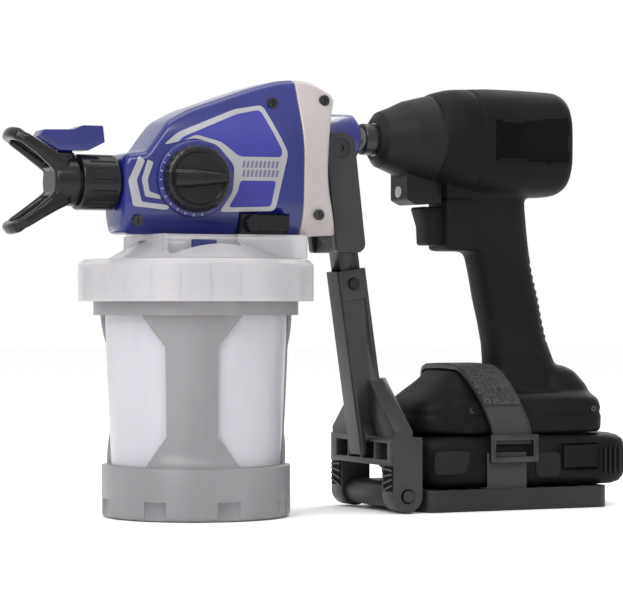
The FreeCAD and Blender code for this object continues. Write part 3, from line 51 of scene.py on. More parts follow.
# ---- driver casing --------------------------------------------------------------------------------
# The impact driver's shell is two halves of black glass-filled plastic, screwed together along the middle.
# They are shown as one skin: head, neck, grip and foot are closed forms, joined by a voxel remesh,
# softened, and then pressed in at the side panel, the grip's ribs and the parting lines.
class Field:
    """A value that varies over a surface; each sum or product makes one Math node."""

    def __init__(self, finish, socket):
        self.finish = finish
        self.socket = socket

    def maths(self, operation, *others):
        sockets = dict(enumerate((self,) + others))
        return self.finish.node("ShaderNodeMath", {"operation": operation}, sockets, 0)

    def __add__(self, other):
        return self.maths("ADD", other)

    def __mul__(self, other):
        return self.maths("MULTIPLY", other)

    __radd__ = __add__
    __rmul__ = __mul__

    def sine(self):
        return self.maths("SINE")

    def abs(self):
        return self.maths("ABSOLUTE")

    def ramp(self, low, high, start=0.0, end=1.0):
        """Maps low..high to start..end smoothly and holds the ends."""
        ends = {"Value": self, "From Min": low, "From Max": high, "To Min": start, "To Max": end}
        return self.finish.node("ShaderNodeMapRange", {"interpolation_type": "SMOOTHSTEP"}, ends, "Result")


# A Mix node has its sockets once for each kind of value; these are the places of its factor and its
# colours.
MIX_FACTOR, MIX_FIRST, MIX_SECOND, MIX_RESULT = 0, 6, 7, 2


class Finish:
    """A material with one Principled shader, and the nodes that feed it."""

    def __init__(self, name):
        self.material = bpy.data.materials.new(name)
        self.material.use_nodes = True
        self.tree = self.material.node_tree
        self.shader = self.tree.nodes["Principled BSDF"]

    def fill(self, node, sockets):
        """Links or sets each of the given sockets."""
        for socket, value in sockets.items():
            if isinstance(value, Field):
                self.tree.links.new(value.socket, node.inputs[socket])
            else:
                node.inputs[socket].default_value = value

    def node(self, kind, settings, sockets, output):
        """Makes a node, first its settings and then its sockets, and returns one of its outputs."""
        made = self.tree.nodes.new(kind)
        for setting, value in settings.items():
            setattr(made, setting, value)
        self.fill(made, sockets)
        return Field(self, made.outputs[output])

    def surface(self, sockets):
        self.fill(self.shader, sockets)

    def noise(self, size, detail=3.0, stretch=(1.0, 1.0, 1.0), roughness=0.5):
        """Noise whose features are about size millimetres across."""
        spot = self.node("ShaderNodeTexCoord", {}, {}, "Object")
        scale = [1.0 / MM / size / s for s in stretch]
        scaled = self.node("ShaderNodeMapping", {}, {"Vector": spot, "Scale": scale}, "Vector")
        sockets = {"Vector": scaled, "Scale": 1.0, "Detail": detail, "Roughness": roughness}
        return self.node("ShaderNodeTexNoise", {}, sockets, "Fac")

    def blend(self, factor, first, second):
        """Colour that goes from first to second as the factor rises."""
        first, second = [c if isinstance(c, Field) else tuple(c) + (1.0,) for c in (first, second)]
        sockets = {MIX_FACTOR: factor, MIX_FIRST: first, MIX_SECOND: second}
        return self.node("ShaderNodeMix", {"data_type": "RGBA"}, sockets, MIX_RESULT)

    def bump(self, height, depth):
        """Raises the surface by height times depth millimetres."""
        sockets = {"Strength": 1.0, "Distance": depth * MM, "Height": height}
        self.surface({"Normal": self.node("ShaderNodeBump", {}, sockets, "Normal")})


def moulded(name, colour, rough, grain=0.35, grain_depth=0.02, cloud=0.12, coat=0.0, metallic=0.0, shine=0.5):
    """Moulded plastic: slow colour and gloss variation, a fine spark-eroded grain, and faint scuffs."""
    finish = Finish(name)
    slow = finish.noise(45.0, 2.0)
    fine = finish.noise(grain, 2.0)
    scuff = finish.noise(9.0, 5.0, (6.0, 1.0, 1.0), 0.7).ramp(0.62, 0.75)
    dark = [c * (1.0 - cloud) for c in colour]
    light = [min(1.0, c * (1.0 + cloud) + 0.002) for c in colour]
    worn = [min(1.0, c * 1.15 + 0.004) for c in colour]
    clouded = finish.blend(slow.ramp(0.3, 0.7), dark, light)
    finish.surface({
        "Base Color": finish.blend(scuff * 0.35, clouded, worn),
        "Roughness": slow.ramp(0.25, 0.75, rough - 0.05, rough + 0.05) + scuff * 0.10 + fine * 0.04,
        "Coat Weight": coat, "Coat Roughness": 0.12, "Metallic": metallic, "Specular IOR Level": shine})
    finish.bump(fine, grain_depth)
    return finish.material


DRIVER = moulded("driver_plastic", (0.0045, 0.0042, 0.0048), 0.52, 0.6, 0.03, 0.15, shine=0.10)
# Near-black finish: the driver's darker side panel, and painted shade in the cores of the leg's foot.
DRIVER_DARK_AND_PAINTED_SHADE = moulded("driver_dark_and_painted_shade", (0.0015, 0.0015, 0.0015), 0.6, 0.6, 0.02, 0.1, shine=0.05)


def finish_piece(name, mesh, material, body, stands_for=(), smooth=35.0):
    """Turns a bmesh into an object at the origin that rides on a body."""
    bmesh.ops.recalc_face_normals(mesh, faces=mesh.faces)
    data = bpy.data.meshes.new(name)
    mesh.to_mesh(data)
    mesh.free()
    for face in data.polygons:
        face.use_smooth = True
    data.set_sharp_from_angle(angle=math.radians(smooth))
    piece = bpy.data.objects.new(name, data)
    bpy.context.collection.objects.link(piece)
    data.materials.append(material)
    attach(piece, body)
    if stands_for:
        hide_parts(*stands_for)
    return piece


def apply_modifiers(piece):
    """Bakes a piece's modifiers into its mesh."""
    depsgraph = bpy.context.evaluated_depsgraph_get()
    baked = bpy.data.meshes.new_from_object(piece.evaluated_get(depsgraph))
    piece.modifiers.clear()
    piece.data = baked


def melted(piece, voxel, rounds):
    """Joins a piece's overlapping forms into one skin by voxels of the given size, and softens it."""
    remesh = piece.modifiers.new("voxels", "REMESH")
    remesh.mode = "VOXEL"
    remesh.voxel_size = voxel * MM
    soften = piece.modifiers.new("soften", "SMOOTH")
    soften.factor = 0.6
    soften.iterations = rounds
    apply_modifiers(piece)
    for face in piece.data.polygons:
        face.use_smooth = True


def superellipse(half_a, half_b, power, count, centre=(0.0, 0.0)):
    """Points round a rounded-box section; power 2 is an ellipse and 5 nearly a box."""
    points = []
    for i in range(count):
        angle = 2 * math.pi * i / count
        c, s = math.cos(angle), math.sin(angle)
        a = math.copysign(abs(c) ** (2.0 / power), c) * half_a
        b = math.copysign(abs(s) ** (2.0 / power), s) * half_b
        points.append((centre[0] + a, centre[1] + b))
    return points


def level_ring(z, middle, reach, half, power, count):
    """Rounded-box section lying flat at one height, about a middle in X."""
    return [(x, y, z) for x, y in superellipse(reach, half, power, count, (middle, 0.0))]


def wrap(mesh, rings):
    """Open skin through rings of equal length (3-D points, in millimetres); returns its rows of vertices."""
    rows = [[mesh.verts.new(Vector(p) * MM) for p in ring] for ring in rings]
    for low, high in zip(rows, rows[1:]):
        for i in range(len(low)):
            j = (i + 1) % len(low)
            mesh.faces.new((low[i], low[j], high[j], high[i]))
    return rows


def loft(mesh, rings):
    """Closed skin through rings, with a flat cap at each end."""
    rows = wrap(mesh, rings)
    mesh.faces.new(list(reversed(rows[0])))
    mesh.faces.new(rows[-1])


def side_plate(mesh, outline, y_low, y_high):
    """Prism with an outline in X and Z, between two levels of Y."""
    low = [mesh.verts.new((x * MM, y_low * MM, z * MM)) for x, z in outline]
    high = [mesh.verts.new((x * MM, y_high * MM, z * MM)) for x, z in outline]
    count = len(outline)
    for i in range(count):
        j = (i + 1) % count
        mesh.faces.new((low[i], low[j], high[j], high[i]))
    mesh.faces.new(list(reversed(low)))
    mesh.faces.new(high)


HEAD = (  # X, half width, lowest Z, highest Z, squareness
    (151.5, 27.0, 199.0, 250.5, 2.4), (157.0, 28.6, 196.0, 254.0, 2.5), (166.0, 30.5, 193.0, 256.3, 2.7),
    (184.0, 31.6, 191.5, 257.0, 2.9), (188.0, 31.6, 191.0, 257.3, 2.9), (206.0, 31.6, 190.5, 257.3, 2.9),
    (224.0, 31.8, 190.5, 256.8, 2.9), (235.0, 31.6, 191.0, 256.3, 3.1), (239.5, 30.0, 193.0, 254.0, 3.1),
    (241.3, 26.5, 197.0, 250.0, 3.0))
GRIP = (  # Z, middle in X, half depth, half width
    (198.0, 193.0, 25.0, 16.0), (184.0, 195.0, 24.5, 16.0), (170.0, 198.5, 22.0, 16.2),
    (156.0, 201.7, 20.2, 16.8), (142.0, 204.8, 19.8, 17.2), (128.0, 208.0, 20.4, 17.4),
    (114.0, 211.2, 20.2, 17.0), (100.0, 214.4, 20.6, 17.0), (88.0, 217.3, 22.5, 18.0),
    (78.0, 219.0, 26.0, 20.0), (68.0, 220.0, 29.0, 24.0))
NECK = [(160.2, 157.0), (160.2, 200.0), (196.0, 200.0), (196.0, 157.0)]
NECK_HALF = 13.6
FOOT_MIDDLE, FOOT_REACH, FOOT_HALF = 206.0, 56.0, 36.0
FOOT_LEVELS = (  # Z, how far the edge is drawn in
    (45.4, 1.0), (48.0, 0.0), (60.0, 0.0), (66.0, 1.5), (70.0, 6.0))
FRONT_HUMP = (  # Z, middle in X, half length, half width
    (58.0, 176.0, 24.5, 33.0), (70.0, 175.5, 22.5, 30.0), (78.0, 174.5, 19.0, 26.0), (83.8, 173.0, 14.0, 21.0))
BACK_HUMP = (
    (58.0, 243.0, 18.5, 31.0), (74.0, 241.0, 16.0, 26.0), (83.0, 239.0, 11.0, 20.0), (86.5, 237.5, 6.0, 15.0))
TOE_BACK = 200.0
TOE = (  # Z, front end in X, half width
    (46.0, 136.0, 33.0), (49.0, 134.5, 34.0), (60.0, 134.5, 33.0), (65.5, 137.0, 30.5), (69.5, 142.0, 28.0),
    (75.0, 149.5, 25.0), (80.0, 155.5, 21.0))

casing = bmesh.new()
loft(casing, [[(x, y, z) for y, z in superellipse(half, (high - low) / 2, power, 40, (0.0, (high + low) / 2))]
              for x, half, low, high, power in HEAD])
loft(casing, [level_ring(z, middle, deep, wide, 2.5, 36) for z, middle, deep, wide in GRIP])
side_plate(casing, NECK, -NECK_HALF, NECK_HALF)
loft(casing, [level_ring(z, FOOT_MIDDLE, FOOT_REACH - inset, FOOT_HALF - inset, 7.0, 48)
              for z, inset in FOOT_LEVELS])
loft(casing, [level_ring(z, middle, reach, half, 4.0, 40) for z, middle, reach, half in FRONT_HUMP])
loft(casing, [level_ring(z, middle, reach, half, 3.5, 40) for z, middle, reach, half in BACK_HUMP])
loft(casing, [level_ring(z, (TOE_BACK + front) / 2, (TOE_BACK - front) / 2, half, 4.0, 40)
              for z, front, half in TOE])
driver_skin = finish_piece("driver_casing", casing, DRIVER, "driver",
                           ("driver_casing_near", "driver_casing_far"))
melted(driver_skin, 1.7, 7)


def inside_by(outline, x, z):
    """Distance in millimetres from a point to an outline's nearest side, negative outside it."""
    best = 1e9
    inside = False
    count = len(outline)
    for i in range(count):
        x0, z0 = outline[i]
        x1, z1 = outline[(i + 1) % count]
        if (z0 > z) != (z1 > z) and x < (x1 - x0) * (z - z0) / (z1 - z0) + x0:
            inside = not inside
        dx, dz = x1 - x0, z1 - z0
        share = max(0.0, min(1.0, ((x - x0) * dx + (z - z0) * dz) / (dx * dx + dz * dz)))
        best = min(best, math.hypot(x - x0 - share * dx, z - z0 - share * dz))
    return best if inside else -best


def soft_step(value, width):
    share = max(0.0, min(1.0, value / width))
    return share * share * (3 - 2 * share)


side_panel = [(184.0, 238.0), (196.0, 236.0), (222.0, 239.0), (237.0, 240.0), (237.0, 211.0), (222.0, 210.0),
              (196.0, 213.0), (184.0, 211.0)]
PANEL_DEPTH = 1.6
grip_back = [(222.0, 152.0), (231.0, 152.0), (241.0, 100.0), (232.0, 98.0)]
GRIP_LOW, GRIP_HIGH, GRIP_BACK_X = 98.0, 152.0, 216.0
RIB_PITCH, RIB_DEPTH = 4.6, 0.8
HEAD_LOW = 195.0
HEAD_SEAM_X, FOOT_SEAM_Z, SEAM_DEPTH = 176.0, 57.5, 0.7
for vertex in driver_skin.data.vertices:
    x, y, z = vertex.co / MM
    pressed = 0.0
    if z > HEAD_LOW:
        pressed += PANEL_DEPTH * soft_step(inside_by(side_panel, x, z), 2.0)
        pressed += 0.8 * soft_step(1.6 - abs(x - HEAD_SEAM_X), 1.2)
    if GRIP_LOW < z < GRIP_HIGH and x > GRIP_BACK_X:
        rib = 0.5 + 0.5 * math.sin(z * 2 * math.pi / RIB_PITCH)
        pressed += RIB_DEPTH * rib * soft_step(inside_by(grip_back, x, z) + 6.0, 4.0)
    if abs(z - FOOT_SEAM_Z) < 1.5:
        pressed += SEAM_DEPTH
    vertex.co -= vertex.normal * pressed * MM
# Faces well inside the pressed-in side panel take the near-black finish.
driver_skin.data.materials.clear()
driver_skin.data.materials.append(DRIVER)
driver_skin.data.materials.append(DRIVER_DARK_AND_PAINTED_SHADE)
for face in driver_skin.data.polygons:
    x, z = face.center.x / MM, face.center.z / MM
    if z > HEAD_LOW and abs(face.normal.y) > 0.5 and inside_by(side_panel, x, z) > 0.8:
        face.material_index = 1


# ---- parts with softened edges --------------------------------------------------------------------
# Machined and moulded parts that keep the shape of the frame: the arm's leg and yoke, the cradle's tray,
# the trigger, the spray tip, the cap, the strap's ring, the cup's ring and cage, and the nut. Each is a
# copy with its outer edges rounded over.
def turned_metal(name, colour, rough):
    """Machined metal: fine rings round the X axis and slight staining."""
    finish = Finish(name)
    rings = finish.noise(0.5, 2.0, (1.0, 30.0, 30.0))
    stain = finish.noise(14.0, 4.0)
    dark = [c * 0.7 for c in colour]
    finish.surface({
        "Base Color": finish.blend(stain.ramp(0.35, 0.7), dark, colour),
        "Roughness": rings * 0.14 + stain * 0.1 + (rough - 0.12), "Metallic": 1.0})
    finish.bump(rings, 0.01)
    return finish.material


def frosted(name, colour, deep, alpha, rough):
    """Milky plastic: light passes a little, with darker flow lines from the mould."""
    finish = Finish(name)
    flow = finish.noise(30.0, 3.0, (1.0, 1.0, 3.0))
    fine = finish.noise(0.5, 2.0)
    finish.surface({
        "Base Color": finish.blend(flow.ramp(0.3, 0.7), deep, colour),
        "Roughness": fine * 0.08 + flow * 0.08 + (rough - 0.08),
        "Subsurface Weight": 0.35, "Subsurface Scale": 0.004, "Alpha": alpha})
    finish.bump(fine, 0.015)
    return finish.material


LEG = moulded("leg_plastic", (0.021, 0.020, 0.023), 0.36, 0.5, 0.012, 0.15, shine=0.30)
BLACK = moulded("black_plastic", (0.010, 0.010, 0.012), 0.42, 0.4, 0.02, 0.2, shine=0.3)
BLUE = moulded("blue_shell", (0.0055, 0.0085, 0.104), 0.22, 0.5, 0.004, 0.10, 0.35, shine=0.35)
GLOSS_BLACK = moulded("black_gloss", (0.004, 0.004, 0.005), 0.20, 0.6, 0.006, 0.2, 0.08, shine=0.22)
DARK_STEEL = turned_metal("dark_steel", (0.06, 0.06, 0.065), 0.38)
CLEAR = frosted("clear_plastic", (0.52, 0.51, 0.53), (0.45, 0.45, 0.47), 0.60, 0.22)
CAGE = frosted("cage_plastic", (0.205, 0.202, 0.212), (0.175, 0.173, 0.182), 1.0, 0.42)

slot_of = {entry["node"]: entry["material_slot"] for entry in frame["record"]["subparts"]}
body_of = {node: body for body, nodes in frame["record"]["behaviour"]["bodies"].items() for node in nodes}


def softened(node, width, material):
    """Stands in for a node with a copy whose sharp outer edges are rounded over by the given width."""
    part = frame["nodes"][node]
    mesh = bmesh.new()
    mesh.from_mesh(part.data)
    bmesh.ops.transform(mesh, matrix=part.matrix_world, verts=mesh.verts)
    bmesh.ops.remove_doubles(mesh, verts=mesh.verts, dist=0.01 * MM)
    bmesh.ops.dissolve_limit(mesh, angle_limit=math.radians(0.5), verts=mesh.verts, edges=mesh.edges)
    outer = [e for e in mesh.edges if len(e.link_faces) == 2 and e.is_convex
             and e.calc_face_angle() > math.radians(35.0)]
    bmesh.ops.bevel(mesh, geom=outer, offset=width * MM, segments=2, profile=0.5, affect="EDGES",
                    clamp_overlap=True)
    bmesh.ops.triangulate(mesh, faces=mesh.faces)
    finish_piece(node + "_soft", mesh, material, body_of[node], (node,), 30.0)


softened("leg", 0.7, LEG)
softened("yoke", 0.8, LEG)
softened("tray", 0.5, BLACK)
softened("trigger", 0.8, DRIVER)
softened("spray_tip", 0.9, BLUE)
softened("drive_cap", 0.6, BLUE)
softened("strap_buckle", 0.5, DARK_STEEL)
softened("lock_ring", 0.8, CLEAR)
softened("cup_support", 0.7, CAGE)
softened("retaining_nut", 0.4, GLOSS_BLACK)


# ---- foot ribs ------------------------------------------------------------------------------------
# The leg's moulded foot has two lugs, cored out in front and stiffened by thin slanting ribs. The shade in the
# cores is painted: near-black plates on the front of the lugs, with the ribs standing on them.
LUG_INNER, LUG_OUTER = 29.6, 41.6
RIB_FRONT, RIB_BACK, RIB_THICK = 107.9, 109.0, 1.1
painted_core_shade = bmesh.new()
ribs = bmesh.new()
for side in (-1.0, 1.0):
    inner, outer = sorted((side * LUG_INNER, side * LUG_OUTER))
    side_plate(painted_core_shade, [(108.6, 13.0), (108.6, 27.0), (109.2, 27.0), (109.2, 13.0)], inner, outer)
    for low, high in ((12.4, 16.0), (16.6, 19.6), (21.0, 22.6), (25.8, 25.0)):
        ends = ((LUG_INNER, low), (LUG_OUTER, high), (LUG_OUTER, high + RIB_THICK),
                (LUG_INNER, low + RIB_THICK))
        front, back = [[ribs.verts.new((x * MM, side * y * MM, z * MM)) for y, z in ends]
                       for x in (RIB_FRONT, RIB_BACK)]
        ribs.faces.new(front)
        for i in range(4):
            ribs.faces.new((front[i], front[i - 1], back[i - 1], back[i]))
# Near-black plates on the lugs' fronts: painted shade in the cores.
finish_piece("foot_painted_core_shade", painted_core_shade, DRIVER_DARK_AND_PAINTED_SHADE, "outer_leg")
finish_piece("foot_ribs", ribs, LEG, "outer_leg")


# ---- battery --------------------------------------------------------------------------------------
# The pack is a rounded block of black plastic that slides onto the driver's foot, with a window for each
# latch, two raised panels each side and short grip ribs near its back end.
DRIVER_NOSE = moulded("driver_nose", (0.009, 0.0085, 0.0095), 0.44, 0.5, 0.02, 0.2, shine=0.13)
PACK = (  # Z, front and back ends in X, half width
    (13.4, 141.0, 271.0, 33.7), (15.0, 137.0, 275.0, 36.0), (18.0, 135.4, 277.4, 37.3),
    (24.0, 134.6, 278.4, 37.8), (37.0, 134.6, 278.4, 37.8), (41.0, 136.0, 277.0, 36.8),
    (43.4, 139.0, 274.0, 34.8), (44.6, 143.0, 270.0, 32.0))
LATCH_WINDOW = [(227.5, 23.5), (252.5, 23.5), (252.5, 38.5), (227.5, 38.5)]


def cut_away(piece, name, outline, spans, material, body):
    """Cuts an outline in X and Z out of a piece, over each span of Y."""
    mesh = bmesh.new()
    for y_low, y_high in spans:
        side_plate(mesh, outline, y_low, y_high)
    cutter = finish_piece(name, mesh, material, body)
    cut = piece.modifiers.new(name, "BOOLEAN")
    cut.operation = "DIFFERENCE"
    cut.solver = "EXACT"
    cut.object = cutter
    apply_modifiers(piece)
    bpy.data.objects.remove(cutter)


def rounded(outline, radius, steps=4):
    """Outline with its corners rounded by short arcs."""
    result = []
    count = len(outline)
    for i in range(count):
        here = Vector(outline[i])
        before = Vector(outline[i - 1]) - here
        after = Vector(outline[(i + 1) % count]) - here
        cut = min(radius, before.length * 0.45, after.length * 0.45)
        start, end = here + before.normalized() * cut, here + after.normalized() * cut
        for k in range(steps + 1):
            t = k / steps
            point = start * (1 - t) ** 2 + here * 2 * t * (1 - t) + end * t ** 2
            result.append((point.x, point.y))
    return result


pack = bmesh.new()
loft(pack, [level_ring(z, (x0 + x1) / 2, (x1 - x0) / 2, half, 7.0, 72) for z, x0, x1, half in PACK])
battery = finish_piece("battery", pack, DRIVER, "driver", ("battery_case",), 40.0)
cut_away(battery, "latch_windows", LATCH_WINDOW, ((-45.0, -32.3), (32.3, 45.0)), DRIVER, "driver")
relief = bmesh.new()
for near, far in ((-38.3, -37.0), (37.0, 38.3)):
    side_plate(relief, rounded([(208.5, 19.0), (225.5, 19.0), (225.5, 34.0), (208.5, 34.0)], 4.0), near, far)
    for k in range(5):
        x = 257.0 + 3.4 * k
        side_plate(relief, [(x, 20.0), (x + 1.6, 20.0), (x + 1.6, 36.0), (x, 36.0)], near, far)
    side_plate(relief, rounded([(139.0, 22.0), (160.0, 22.0), (164.0, 36.0), (139.0, 36.0)], 4.0), near, far)
finish_piece("battery_relief", relief, DRIVER_NOSE, "driver")


# ---- pump casing ----------------------------------------------------------------------------------
# The pump's shell: a glossy blue front casing and a white rear one that meet at an upright seam. Both are
# lofted along X through egg-shaped sections with soft edges, and the front one is notched on the near side
# for the purge lever.
WHITE = moulded("white_shell", (0.325, 0.288, 0.285), 0.34, 0.5, 0.008, 0.04, 0.15)
CREST = (  # X and Z along the top
    (-52.0, 211.0), (-50.0, 211.7), (-38.8, 213.0), (-36.6, 214.6), (-25.4, 229.6), (-22.6, 232.0), (-10.0, 238.6),
    (28.0, 251.7), (45.0, 256.4), (52.0, 257.5), (62.0, 257.5), (68.0, 256.2), (84.0, 249.0))
CASING_LOW = 165.0
NOSE_X, NOSE_HALF = -52.0, 18.0
SEAM_X, SEAM_HALF = 55.5, 33.0
TAIL_X, TAIL_HALF = 84.0, 30.0
BACK_EDGE = ((249.0, 84.0), (208.0, 72.5), (168.0, 79.5))  # Z and X at the crest, the waist and the bottom


def between(table, x):
    """Straight-line reading of a table of (x, value) pairs."""
    for (x0, v0), (x1, v1) in zip(table, table[1:]):
        if x <= x1:
            return v0 + (v1 - v0) * (x - x0) / (x1 - x0)
    return table[-1][1]


def wall_half(x):
    """Half width of the casing at mid height: it widens to the seam and narrows behind it."""
    if x < SEAM_X:
        return NOSE_HALF + (SEAM_HALF - NOSE_HALF) * (x - NOSE_X) / (SEAM_X - NOSE_X)
    return SEAM_HALF - (SEAM_HALF - TAIL_HALF) * (x - SEAM_X) / (TAIL_X - SEAM_X)


def side_reach(x, z):
    """Half width of the casing at a point of its side, which draws in below and, more and more, above."""
    below = max(0.0, 185.0 - z) / 20.0
    above = min(25.0, max(0.0, z - 208.0))
    return wall_half(x) - 7.0 * below * below - 0.0092 * above * above - 0.46 * max(0.0, z - 233.0)


def casing_ring(x_at, x_top, inset=0.0, corner=6.0):
    """One section; x_at gives X at each height, and inset draws the section in at its soft ends."""
    top = between(CREST, x_top) - inset
    low = CASING_LOW + inset
    lean = math.atan(min(0.46, 0.0184 * max(0.0, top - corner - 208.0)))
    shoulder = top - corner * (1.0 - math.sin(lean))
    right = []
    for i in range(15):
        z = low + (shoulder - low) * i / 14
        right.append((x_at(z), side_reach(x_at(z), z) - inset, z))
    centre_y = right[-1][1] - corner * math.cos(lean)
    centre_z = shoulder - corner * math.sin(lean)
    for k in range(1, 8):
        angle = lean + (math.pi / 2 - lean) * k / 7
        z = centre_z + corner * math.sin(angle)
        right.append((x_at(z), centre_y + corner * math.cos(angle), z))
    return right + [(x, -y, z) for x, y, z in reversed(right)]


def seam_x(z):
    """The seam between the casings leans back a little as it rises."""
    return SEAM_X + 0.02 * (z - 207.0)


def scooped_x(z):
    """Back edge of the rear casing: a parabola through the places in BACK_EDGE."""
    (crest, crest_x), (waist, waist_x), (bottom, bottom_x) = BACK_EDGE
    return (crest_x * (z - waist) * (z - bottom) / ((crest - waist) * (crest - bottom))
            + waist_x * (z - crest) * (z - bottom) / ((waist - crest) * (waist - bottom))
            + bottom_x * (z - crest) * (z - waist) / ((bottom - crest) * (bottom - waist)))


def casing_skin(mesh, rings):
    """Skin through the rings, closed at each end by strips from side to side."""
    rows = wrap(mesh, rings)
    for row in (rows[0], rows[-1]):
        count = len(row)
        for i in range(count // 2 - 1):
            mesh.faces.new((row[i], row[i + 1], row[count - 2 - i], row[count - 1 - i]))


SOFT_NOSE = (  # X, how far the section is drawn in
    (-52.0, 5.5), (-51.7, 3.6), (-51.0, 2.2), (-49.8, 1.0), (-48.2, 0.3))
STRAIGHT = (  # X of the full sections
    -46.0, -42.0, -39.4, -38.4, -37.4, -36.2, -33.0, -29.0, -26.2, -25.0, -23.8, -22.4, -18.0, -12.0, -8.0, 4.0,
    16.0, 28.0, 38.0, 44.0, 48.0)
SOFT_SEAM = (  # distance from the seam, how far the section is drawn in
    (0.1, 0.9), (0.35, 0.4), (0.9, 0.1), (1.8, 0.0))
front_rings = [casing_ring(lambda z, level=x: level, x, inset) for x, inset in SOFT_NOSE]
front_rings += [casing_ring(lambda z, level=x: level, x) for x in STRAIGHT]
front_rings += [casing_ring(lambda z, gap=gap: seam_x(z) - gap, 55.0, inset)
                for gap, inset in reversed(SOFT_SEAM)]
front_mesh = bmesh.new()
casing_skin(front_mesh, front_rings)
front_casing = finish_piece("casing_front", front_mesh, BLUE, "sprayer",
                            ("casing_front_near", "casing_front_far"))
LEVER_NOTCH = [(16.7, 160.0), (16.7, 177.3), (45.3, 177.3), (45.3, 160.0)]
cut_away(front_casing, "notch", LEVER_NOTCH, ((-60.0, -20.0),), BLUE, "sprayer")

rear_rings = [casing_ring(lambda z, gap=gap: seam_x(z) + gap, 56.5, inset) for gap, inset in SOFT_SEAM]
for share, inset in ((0.25, 0.0), (0.45, 0.0), (0.65, 0.0), (0.8, 0.0), (0.88, 0.1), (0.94, 0.6), (0.98, 1.5),
                     (1.0, 2.8)):
    def slanted(z, part=share):
        return seam_x(z) + (scooped_x(z) - seam_x(z)) * part
    rear_rings.append(casing_ring(slanted, slanted(250.0), inset))
rear_mesh = bmesh.new()
casing_skin(rear_mesh, rear_rings)
finish_piece("casing_rear", rear_mesh, WHITE, "sprayer",
             ("casing_rear_near", "casing_rear_far"), 50.0)


# ---- side label -----------------------------------------------------------------------------------
# Thin trim laid on the near side of the blue casing: a silver frame round two violet panels, a hatched
# band, and nested chevrons ahead of the knob. Each is a flat outline dropped along Y onto the casing.
SILVER = moulded("silver_trim", (0.27, 0.27, 0.285), 0.32, 0.4, 0.005, 0.08, 0.3, 0.35)
VIOLET = moulded("violet_panel", (0.026, 0.024, 0.185), 0.36, 0.5, 0.004, 0.06, shine=0.3)
INK = moulded("hatching_ink", (0.10, 0.095, 0.16), 0.4)
skin = front_casing.data
near_casing = BVHTree.FromPolygons([v.co for v in skin.vertices], [list(f.vertices) for f in skin.polygons])
AHEAD_Y, FALLBACK_Y, SUNK = -80.0, -25.0, 0.3


def draped(mesh, outline, proud, spacing=2.0):
    """Lays an outline on the near casing, standing proud of it by the given millimetres."""
    flat = bmesh.new()
    flat.faces.new([flat.verts.new((x, 0.0, z)) for x, z in outline])
    xs, zs = zip(*outline)
    for axis, places in ((Vector((1, 0, 0)), xs), (Vector((0, 0, 1)), zs)):
        level = min(places) + spacing
        while level < max(places):
            geometry = flat.verts[:] + flat.edges[:] + flat.faces[:]
            bmesh.ops.bisect_plane(flat, geom=geometry, plane_co=axis * level, plane_no=axis)
            level += spacing
    top, low = {}, {}
    for vertex in flat.verts:
        origin = Vector((vertex.co.x * MM, AHEAD_Y * MM, vertex.co.z * MM))
        hit, normal, _, _ = near_casing.ray_cast(origin, Vector((0, 1, 0)))
        if hit is None:
            hit, normal = Vector((origin.x, FALLBACK_Y * MM, origin.z)), Vector((0, -1, 0))
        if normal.y > 0:
            normal = -normal
        top[vertex] = mesh.verts.new(hit + normal * proud * MM)
        low[vertex] = mesh.verts.new(hit - normal * SUNK * MM)
    for face in flat.faces:
        mesh.faces.new([top[v] for v in face.verts])
    for edge in flat.edges:
        if len(edge.link_faces) == 1:
            a, b = edge.verts
            mesh.faces.new((top[a], top[b], low[b], low[a]))
    flat.free()


label_edge = [(-29.0, 216.5), (-20.0, 224.0), (16.0, 238.5), (33.5, 241.5), (45.5, 213.0), (37.5, 179.0),
              (4.0, 178.0), (12.0, 190.0), (13.0, 205.0), (3.0, 217.0), (-10.0, 221.0)]
trim = bmesh.new()
draped(trim, rounded(label_edge, 3.0), 0.30)
arrow = [(-43.5, 210.0), (-49.5, 196.0), (-47.0, 181.0), (-27.0, 179.0), (-24.5, 181.5), (-42.0, 183.5),
         (-45.0, 196.0), (-40.0, 207.5)]
draped(trim, rounded(arrow, 1.5), 0.35)
arrow_inner = [(-38.5, 208.0), (-42.0, 196.5), (-40.0, 186.5), (-30.5, 185.0), (-31.5, 187.5), (-37.5, 189.5),
               (-38.5, 196.5), (-35.0, 206.5)]
draped(trim, rounded(arrow_inner, 1.2), 0.35)
finish_piece("label_trim", trim, SILVER, "sprayer")

panel_upper = [(-21.0, 217.5), (-17.0, 221.5), (17.0, 235.5), (31.5, 238.5), (42.0, 214.0), (41.0, 210.5),
               (16.0, 210.5), (5.5, 219.0), (-9.0, 223.0)]
panel_lower = [(16.5, 196.5), (38.0, 196.5), (34.8, 181.5), (9.5, 180.8), (15.0, 190.0)]
panels = bmesh.new()
draped(panels, rounded(panel_upper, 2.5), 0.45)
draped(panels, rounded(panel_lower, 2.0), 0.45)
finish_piece("label_panels", panels, VIOLET, "sprayer")
hatching = bmesh.new()
for k in range(9):
    x = 17.5 + k * 2.5
    for low, high in ((198.8, 202.8), (204.0, 208.0)):
        draped(hatching, [(x, low), (x + 1.4, low), (x + 2.2, high), (x + 0.8, high)], 0.42)
finish_piece("label_hatching", hatching, INK, "sprayer")


